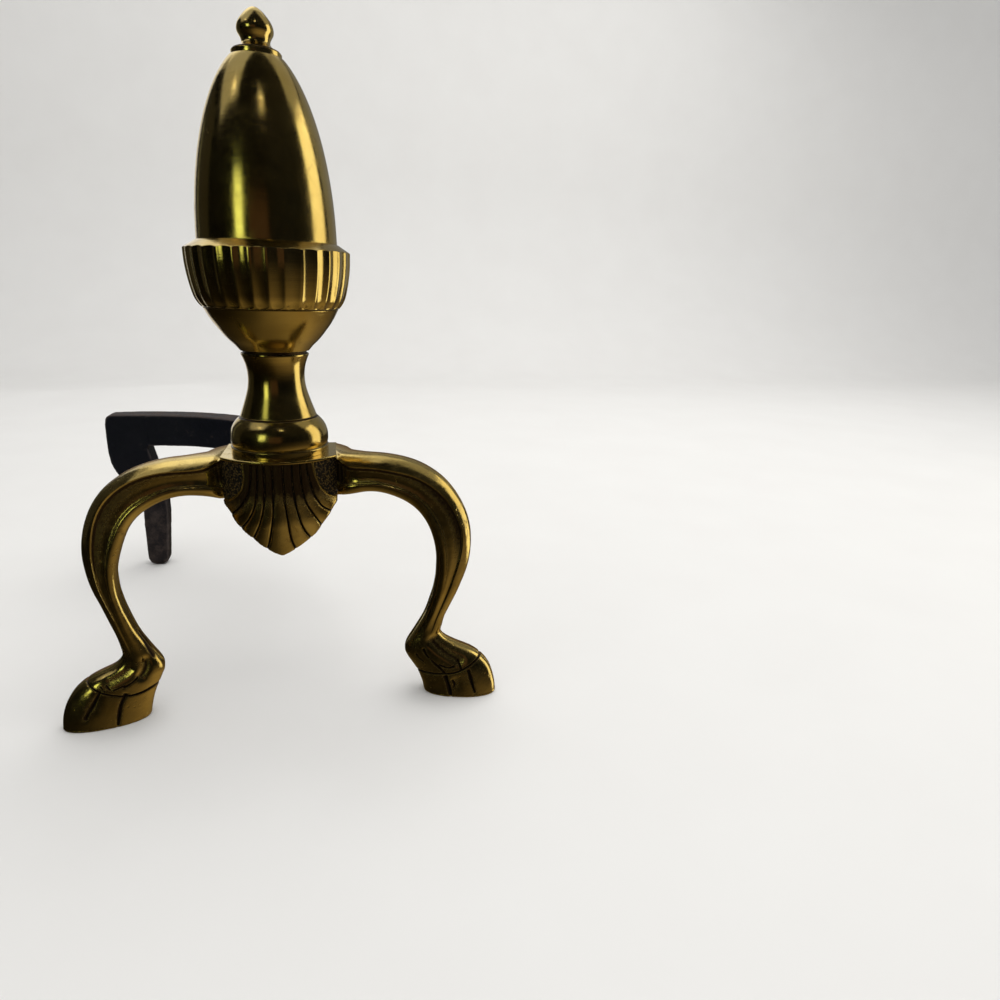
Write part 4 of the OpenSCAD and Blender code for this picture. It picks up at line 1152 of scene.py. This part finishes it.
def make_cup():
    """Bowl, collar with 32 broad flutes that run out at the shoulder and end round below, hollow inside."""
    bowl = smooth_curve([[19.3, 215.8], [21.6, 218.5], [24.6, 221.4], [28.1, 225.5], [31.2, 229.6], [33.5, 233.1], [36.15, 238.1]], 0.5)
    collar = smooth_curve([[37.5, 239.5], [38.0, 240.1], [39.5, 242.2], [40.7, 244.9], [41.5, 247.8], [42.3, 251.4], [43.0, 255.4],
                           [43.6, 260.0], [43.9, 264.5], [44.0, 268.7]], 0.28)
    collar[:, 0] = np.minimum(collar[:, 0], 44.0)
    outer = np.concatenate([
        [[ROD_HOLE, 214.0], [17.2, 214.0], [17.6, 214.2], [17.6, 215.2], [17.9, 215.5], [19.1, 215.65]],
        bowl,
        [[36.3, 238.4], [36.32, 238.65], [36.1, 238.8], [36.15, 238.98], [36.6, 239.05], [37.2, 239.25]],
        collar,
        rounded([(44.0, 268.85), (43.98, 269.0), (43.5, 269.35), (40.0, 271.6), (37.75, 273.08), (37.5, 273.2), (37.3, 273.2), (37.1, 273.0)],
                [0, 0, 0.35, 0, 0.2, 0.1, 0, 0])])
    outer = densify(outer, 0.45)
    inner = np.array([[37.1, 268.0], [37.1, 262.0], [33.3, 262.0], [33.3, 250.0], [31.5, 238.0], [26.0, 230.0],
                      [20.0, 224.0], [ROD_HOLE, 222.0]])
    profile = np.concatenate([outer, densify(inner, 3.0)])
    # columns crowd at the arrises
    cell = np.array([0, 0.028, 0.055, 0.078, 0.10, 0.135, 0.19, 0.27, 0.38])
    cell = np.concatenate([cell, [0.5], 1 - cell[:0:-1]])
    per = len(cell)
    angles = (np.concatenate([k + cell for k in range(FLUTES)])) * 2 * math.pi / FLUTES
    v = lathe(profile, len(angles), angles + FLUTE_TURN)
    r, z = profile[:, 0], profile[:, 1]
    outside = (np.arange(len(profile)) < len(outer))
    # distance across a flute from its middle, in mm, at each row
    phase = (angles * FLUTES / (2 * math.pi)) % 1.0 - 0.5
    across = np.abs(phase)[None, :] * (2 * math.pi * r / FLUTES)[:, None]
    half = 3.74 * (np.minimum(r, 44.0) / 44.0)[:, None]
    z0 = 239.2
    zz = z[:, None]
    # the outline of a flute is straight sided with a round lower end
    over = np.maximum(z0 + 1.5 - zz, 0)
    limit = np.sqrt(np.maximum(half ** 2 - over ** 2 * (half / 1.5) ** 2, 0))
    inside = np.clip(1 - (across / np.maximum(limit, 1e-6)) ** 2, 0, 1)
    inside = np.where(limit > 0.05, inside, 0)
    depth = FLUTE_DEEP * inside * np.clip(limit / half, 0, 1) ** 0.8
    # tool wander: each flute cut a little differently
    wander = 1 + 0.05 * np.sin(np.arange(FLUTES) * 2.4) + 0.03 * np.sin(np.arange(FLUTES) * 5.1 + 1)
    depth = depth * np.repeat(wander, per)[None, :]
    # the cutter runs straight up through the shoulder
    depth = np.where(zz > 268.9, np.maximum(r[:, None] - (44.0 - depth), 0), depth)
    depth = np.where(outside[:, None] & (zz > z0), depth, 0)
    # the arrises are worn round
    depth += np.where(outside[:, None] & (zz > z0 + 2) & (zz < 269.2), 0.05 * np.exp(-((across - half) / 0.25) ** 2), 0)
    world = angles + FLUTE_TURN
    radial = np.stack([np.cos(world), np.sin(world), np.zeros(len(world))], axis=-1)
    v = v - depth[:, :, None] * radial[None, :, :]
    dirt = np.zeros_like(depth)
    dirt = np.maximum(dirt, 0.85 * np.exp(-((zz - 238.85) / 0.30) ** 2) * (r[:, None] > 35.8) * (r[:, None] < 37.3))
    # painted shade in the gap where the bowl sits on the neck
    dirt = np.maximum(dirt, 0.9 * ((zz > 213.9) & (zz < 215.7) & (r[:, None] < 19.2)))
    ends = np.exp(-((zz - (z0 + 0.8)) / 0.8) ** 2)
    dirt = np.maximum(dirt, 0.12 * ends * (depth > 0.08))
    # painted shade on the shoulder's inner edge, where the body stands in it
    dirt = np.maximum(dirt, 0.7 * ((zz > 266) & (r[:, None] < 37.4)))
    raw = np.repeat((~outside).astype(float), len(angles))
    b = Build()
    b.add(v.reshape(-1, 3), ring_faces(len(profile), len(angles), close_rows=True), 0, dirt=dirt.ravel(), raw=raw)
    ob = b.object("fluted_cup_turned", [MAT_TURNED])
    fix_normals(ob)
    sharpen(ob, 35)
    inside_node(ob, "fluted_cup")
    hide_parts("fluted_cup")
    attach(ob, BODY)
    return ob


def make_body():
    z = np.concatenate([np.linspace(262.4, 270, 8), 270 + 92.0 * np.sin(np.linspace(0, 1, 150)[1:] * math.asin(1.0) * 0.985)])
    z = np.clip(z, 0, 361.6)
    r = np.where(z < 270, 36.9, 36.9 * np.sqrt(np.maximum(1 - ((z - 270) / 99.0) ** 2, 0)))
    outer = np.column_stack([r, z])
    top_r = 36.9 * math.sqrt(1 - (92 / 99.0) ** 2)
    outer = np.concatenate([[[33.5, 262.0], [36.6, 262.0]], outer, [[top_r, 361.9], [top_r - 0.3, 362.0], [ROD_HOLE, 362.0], [ROD_HOLE, 349.0]]])
    zi = np.arange(349, 270, -5.0)
    ri = 33.7 * np.sqrt(np.maximum(1 - ((zi - 270) / 89.0) ** 2, 0))
    inner = np.column_stack([ri, zi])
    profile = np.concatenate([outer, inner, [[33.5, 268.0]]])
    dirt = np.zeros(len(profile))
    zz = profile[:, 1]
    # painted shade round the foot of the body, where it meets the cup's shoulder
    dirt = 0.5 * (profile[:, 0] > 36) * np.exp(-((zz - 273.1) / 0.6) ** 2)
    raw = np.zeros(len(profile))
    raw[len(outer):] = 1.0
    return turned("acorn_body_turned", "acorn_body", profile, segments=288, dirt=dirt, raw=raw)


def make_tip():
    line = smooth_curve([[11.7, 365.3], [9.0, 366.6], [7.2, 368.6], [7.6, 370.8], [9.0, 373.4], [8.9, 376.4], [6.7, 380.2], [3.4, 383.6], [1.5, 384.7], [0.02, 385.0]], 0.22)
    line[:, 1] = np.minimum(line[:, 1], 385.0)
    line[:, 0] = np.maximum(line[:, 0], 0.02)
    head = rounded([(4.0, 362.0), (12.3, 362.0), (12.6, 362.3), (12.6, 364.3), (12.3, 364.7), (11.9, 364.9), (11.75, 365.1)],
                   [0, 0.2, 0.2, 0.3, 0.1, 0.1, 0])
    profile = np.concatenate([head, line, [[0.02, 376.0], [4.0, 375.0]]])
    zz, r = profile[:, 1], profile[:, 0]
    dirt = 0.8 * np.exp(-((zz - 365.0) / 0.5) ** 2) * (r > 9) + 0.6 * np.exp(-((zz - 362.05) / 0.3) ** 2)
    raw = (r < 4.1) * (zz < 377) * 1.0
    return turned("tip_nut", "top_tip", profile, segments=128, dirt=np.clip(dirt, 0, 1), raw=raw)


# ----------------------------------------------------------------- the log bar

def make_bar():
    """Cast iron: the bar's body, voxel remeshed so that every edge softens, then worn and pitted."""
    source = frame["nodes"]["log_bar"]
    mesh = source.data.copy()
    mesh.name = "log_bar_iron"
    ob = bpy.data.objects.new("log_bar_iron", mesh)
    bpy.context.scene.collection.objects.link(ob)
    bm = bmesh.new()
    bm.from_mesh(mesh)
    bmesh.ops.remove_doubles(bm, verts=bm.verts, dist=1e-6)
    bm.to_mesh(mesh)
    bm.free()
    rem = ob.modifiers.new("remesh", "REMESH")
    rem.mode = "VOXEL"
    rem.voxel_size = 0.0011
    soft = ob.modifiers.new("soften", "SMOOTH")
    soft.factor = 0.5
    soft.iterations = 9
    deps = bpy.context.evaluated_depsgraph_get()
    done = bpy.data.meshes.new_from_object(ob.evaluated_get(deps))
    ob.modifiers.clear()
    ob.data = done
    done.name = "log_bar_iron"
    co = np.zeros(len(done.vertices) * 3)
    done.vertices.foreach_get("co", co)
    co = co.reshape(-1, 3)
    no = np.zeros(len(done.vertices) * 3)
    done.vertices.foreach_get("normal", no)
    no = no.reshape(-1, 3)
    lo, hi = (np.array(c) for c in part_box("log_bar"))
    mm = co * 1000
    bumpy = 0.10 * wobble(mm, 26, 3) + 0.07 * wobble(mm, 9, 4) + 0.04 * wobble(mm, 4.5, 6)
    co = co + no * (bumpy - 0.12)[:, None] / 1000
    co = np.clip(co, lo, hi)
    done.vertices.foreach_set("co", co.ravel())
    done.materials.clear()
    done.materials.append(MAT_IRON)
    done.polygons.foreach_set("use_smooth", np.ones(len(done.polygons), bool))
    done.update()
    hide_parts("log_bar")
    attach(ob, BODY)
    return ob


# ------------------------------------------------------- rod and its fastenings

def make_fastenings():
    # rod: plain shank with a screwed lower end, M8 pitch 1.25, and its chamfer
    z = [113.0, 113.5]
    r = [3.2, 3.75]
    a = np.linspace(0, 2 * math.pi, 64, endpoint=False)
    rows, dirt = [], []
    pitch = 1.25
    heights = np.concatenate([np.arange(113.6, 133.0, 0.104), np.arange(133.2, 374.6, 6.0), [374.6, 375.0]])
    for h in heights:
        turn = (h / pitch) % 1.0
        ph = (a / (2 * math.pi) + turn) % 1.0
        tri = np.abs(ph - 0.5) * 2
        thread = np.clip(tri * 1.25 - 0.12, 0, 1) * 0.62
        fade = 1 - smoothstep(h, 130, 133)
        rr = 4.0 - thread * fade
        rows.append(np.column_stack([rr * np.cos(a), rr * np.sin(a), np.full(64, h)]))
        dirt.append(thread * fade)
    first = rows[0].copy()
    first[:, :2] *= 0.82
    first[:, 2] = 113.0
    rows.insert(0, first)
    dirt.insert(0, dirt[0])
    v = np.concatenate(rows)
    f = ring_faces(len(rows), 64) + [list(range(64))[::-1], [(len(rows) - 1) * 64 + i for i in range(64)]]
    b = Build()
    b.add(v, f, 0, dirt=np.concatenate(dirt))
    rod = b.object("tie_rod_threaded", [MAT_STEEL])
    fix_normals(rod)
    sharpen(rod, 50)
    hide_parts("tie_rod")
    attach(rod, BODY)

    # nut: hexagon with both corners chamfered and a countersunk thread mouth
    lo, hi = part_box("hex_nut")
    z0, z1 = lo.z * 1000, hi.z * 1000
    n = 96
    a = np.linspace(0, 2 * math.pi, n, endpoint=False)
    flat = 7.5 * math.cos(math.pi / 6)
    hexr = flat / np.cos((a + math.pi / 6) % (math.pi / 3) - math.pi / 6)
    rows = []
    def ring(rr, zz):
        rr = np.broadcast_to(rr, a.shape)
        rows.append(np.column_stack([rr * np.cos(a), rr * np.sin(a), np.broadcast_to(zz, a.shape)]))
    cham = (hexr - flat) * 0.55
    ring(4.0, z0 + 0.7)
    ring(4.5, z0)
    ring(flat - 0.15, z0)
    ring(hexr - 0.02, z0 + 0.15 + cham)
    ring(hexr, z0 + 0.3 + cham)
    ring(hexr, z1 - 0.3 - cham)
    ring(hexr - 0.02, z1 - 0.15 - cham)
    ring(flat - 0.15, z1)
    ring(4.5, z1)
    ring(4.0, z1 - 0.7)
    b = Build()
    b.add(np.concatenate(rows), ring_faces(len(rows), n, close_rows=True), 0)
    nut = b.object("hex_nut_chamfered", [MAT_STEEL])
    fix_normals(nut)
    sharpen(nut, 25)
    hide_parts("hex_nut")
    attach(nut, BODY)
    for name in ("flat_washer", "lock_washer"):
        node = frame["nodes"][name]
        node.data.materials.clear()
        node.data.materials.append(MAT_STEEL)


# -------------------------------------------------------------- studio and view

def make_stage():
    """Pale floor that sweeps up into a wall well behind."""
    n = Nodes("floor_pale")
    grain = n.noise(n.coord, 9.0, 3.0, 0.5)
    n.link(n.mix(grain, (0.80, 0.79, 0.775), (0.84, 0.835, 0.82)), n.bsdf.inputs["Base Color"])
    n.bsdf.inputs["Roughness"].default_value = 0.75
    n.bsdf.inputs["Specular IOR Level"].default_value = 0.2
    ys = np.concatenate([[-2.2, -0.8, 0.0, 1.0], 1.4 + 0.6 * np.sin(np.linspace(0, math.pi / 2, 16)), [2.0]])
    zs = np.concatenate([[0.0, 0.0, 0.0, 0.0], 0.6 - 0.6 * np.cos(np.linspace(0, math.pi / 2, 16)), [2.6]])
    mesh = bpy.data.meshes.new("floor")
    v, f = [], []
    for y, z in zip(ys, zs):
        v += [(-3.0, y, z), (3.0, y, z)]
    for i in range(len(ys) - 1):
        f.append([2 * i, 2 * i + 1, 2 * i + 3, 2 * i + 2])
    mesh.from_pydata(v, [], f)
    mesh.materials.append(n.material)
    mesh.polygons.foreach_set("use_smooth", np.ones(len(mesh.polygons), bool))
    mesh.update()
    floor = bpy.data.objects.new("floor", mesh)
    bpy.context.scene.collection.objects.link(floor)
    floor.visible_glossy = False


def soft_box(name, azimuth, elevation, wide, tall, radiance, colour, distance=1.25, target=(0.0165, -0.10, 0.17)):
    """A soft box as the object sees it: azimuth from the camera's side (left negative), elevation, and its
    width and height, all in degrees."""
    view = math.atan2(0.2174, 0.9761)
    a = math.pi + view + math.radians(-azimuth)     # direction from the object, clockwise from +y
    e = math.radians(elevation)
    d = Vector((math.sin(a) * math.cos(e), math.cos(a) * math.cos(e), math.sin(e)))
    width, height = (2 * distance * math.tan(math.radians(q) / 2) for q in (wide, tall))
    light = bpy.data.lights.new(name, "AREA")
    light.shape = "RECTANGLE"
    light.size, light.size_y = width, height
    light.energy = radiance * math.pi * width * height
    light.color = colour
    ob = bpy.data.objects.new(name, light)
    at = Vector(target) + d * distance
    x = Vector((0, 0, 1)).cross(d).normalized()
    y = d.cross(x)
    ob.matrix_world = Matrix(((x.x, y.x, d.x, at.x), (x.y, y.y, d.y, at.y), (x.z, y.z, d.z, at.z), (0, 0, 0, 1)))
    bpy.context.scene.collection.objects.link(ob)
    ob.visible_diffuse = False
    return ob


def make_lights():
    """A dim room with a few soft boxes, which is what the polished brass mirrors, and an even pale
    dome with one large overhead box, which light the floor and the iron."""
    world = bpy.data.worlds.new("room")
    bpy.context.scene.world = world
    world.use_nodes = True
    t = world.node_tree
    t.nodes.clear()
    out = t.nodes.new("ShaderNodeOutputWorld")
    coord = t.nodes.new("ShaderNodeTexCoord").outputs["Generated"]
    sep = t.nodes.new("ShaderNodeSeparateXYZ")
    t.links.new(coord, sep.inputs[0])
    ramp = t.nodes.new("ShaderNodeValToRGB")
    shift = t.nodes.new("ShaderNodeMath")
    shift.operation = "MULTIPLY_ADD"
    shift.inputs[1].default_value = 0.5
    shift.inputs[2].default_value = 0.5
    t.links.new(sep.outputs[2], shift.inputs[0])
    stops = [(0.0, (0.056, 0.043, 0.023)), (0.06, (0.082, 0.064, 0.034)), (0.12, (0.084, 0.064, 0.034)),
             (0.20, (0.050, 0.038, 0.022)), (0.30, (0.032, 0.024, 0.013)), (0.385, (0.012, 0.0095, 0.0065)),
             (0.46, (0.0030, 0.0026, 0.0024)), (0.52, (0.0010, 0.0011, 0.0016)), (0.62, (0.0010, 0.0012, 0.0018)),
             (1.0, (0.006, 0.0055, 0.005))]
    r = ramp.color_ramp
    while len(r.elements) < len(stops):
        r.elements.new(0.5)
    for e, (pos, colour) in zip(r.elements, stops):
        e.position, e.color = pos, (*colour, 1.0)
    t.links.new(shift.outputs[0], ramp.inputs[0])
    # the floor of the room is lighter towards the right-hand box
    dot = t.nodes.new("ShaderNodeVectorMath")
    dot.operation = "DOT_PRODUCT"
    dot.inputs[1].default_value = (0.94, 0.20, -0.28)
    t.links.new(coord, dot.inputs[0])
    lift = t.nodes.new("ShaderNodeMapRange")
    t.links.new(dot.outputs["Value"], lift.inputs[0])
    for i, q in enumerate((-0.25, 0.85, 1.0, 4.2)):
        lift.inputs[1 + i].default_value = q
    # and darker towards the left
    dim = t.nodes.new("ShaderNodeMapRange")
    t.links.new(dot.outputs["Value"], dim.inputs[0])
    for i, q in enumerate((-0.55, 0.05, 0.20, 1.0)):
        dim.inputs[1 + i].default_value = q
    both = t.nodes.new("ShaderNodeMath")
    both.operation = "MULTIPLY"
    t.links.new(lift.outputs[0], both.inputs[0])
    t.links.new(dim.outputs[0], both.inputs[1])
    mirrored = t.nodes.new("ShaderNodeBackground")
    t.links.new(ramp.outputs[0], mirrored.inputs[0])
    t.links.new(both.outputs[0], mirrored.inputs[1])
    dome = t.nodes.new("ShaderNodeBackground")
    dome.inputs[0].default_value = (0.80, 0.80, 0.795, 1.0)
    dome.inputs[1].default_value = 0.74
    path = t.nodes.new("ShaderNodeLightPath")
    mix = t.nodes.new("ShaderNodeMixShader")
    t.links.new(path.outputs["Is Glossy Ray"], mix.inputs[0])
    t.links.new(dome.outputs[0], mix.inputs[1])
    t.links.new(mirrored.outputs[0], mix.inputs[2])
    t.links.new(mix.outputs[0], out.inputs[0])

    soft_box("window_left", -26, 14.5, 13, 23, 1.9, (0.82, 1.0, 0.50))
    soft_box("box_right", 112, 5, 28, 70, 1.6, (1.0, 0.94, 0.74))
    soft_box("glow_front", 5, 8, 30, 26, 0.045, (1.0, 0.55, 0.38))
    soft_box("back_card", 176, 18, 78, 50, 0.22, (0.95, 0.95, 0.93))
    soft_box("ceiling_back", 172, 62, 90, 34, 0.32, (1.0, 0.97, 0.88))
    soft_box("rim_left", -108, 12, 44, 50, 0.022, (1.0, 0.95, 0.78))
    soft_box("window_back_left", -145, 24, 27, 84, 0.75, (0.98, 0.98, 1.0))
    soft_box("ceiling_left", -120, 66, 80, 34, 0.42, (0.98, 0.98, 1.0))
    soft_box("slit_left", -118, 10, 3, 34, 0.16, (0.95, 1.0, 0.80))
    soft_box("lamp_a", 22, 54, 6, 4, 3.0, (1.0, 0.95, 0.82))
    soft_box("lamp_b", -55, 54, 6, 4, 2.4, (1.0, 0.95, 0.82))
    top = soft_box("overhead", 120, 74, 62, 62, 1.75, (1.0, 0.99, 0.97), distance=1.9, target=(0.15, 0.15, 0.0))
    top.visible_glossy = False
    top.visible_diffuse = True


def make_camera():
    cam = bpy.data.cameras.new("camera")
    cam.sensor_width = 36.0
    cam.sensor_fit = "HORIZONTAL"
    cam.lens = 702.5 / 1000 * 36.0
    cam.clip_start, cam.clip_end = 0.02, 20.0
    ob = bpy.data.objects.new("camera", cam)
    heading = np.array([0.2174, 0.9761, 0.0])
    heading /= np.linalg.norm(heading)
    pitch, roll = math.radians(17.02), math.radians(1.81)
    fwd = np.array([heading[0] * math.cos(pitch), heading[1] * math.cos(pitch), -math.sin(pitch)])
    r0 = np.array([heading[1], -heading[0], 0.0])
    d0 = np.array([-math.sin(pitch) * heading[0], -math.sin(pitch) * heading[1], -math.cos(pitch)])
    right = math.cos(roll) * r0 - math.sin(roll) * d0
    down = math.sin(roll) * r0 + math.cos(roll) * d0
    eye = to_frame([39.67, -428.09, 255.0])
    m = np.eye(4)
    m[:3, 0], m[:3, 1], m[:3, 2], m[:3, 3] = right, -down, -fwd, eye
    ob.matrix_world = Matrix(m.tolist())
    bpy.context.scene.collection.objects.link(ob)
    bpy.context.scene.camera = ob


BODY = sorted(frame["bodies"])[0]
make_camera()
make_plinth()
make_leg(False)
make_leg(True)
make_ball_neck()
make_cup()
make_body()
make_tip()
make_bar()
make_fastenings()
make_stage()
make_lights()
bpy.context.scene.view_settings.view_transform = "Standard"

bpy.context.view_layer.update()
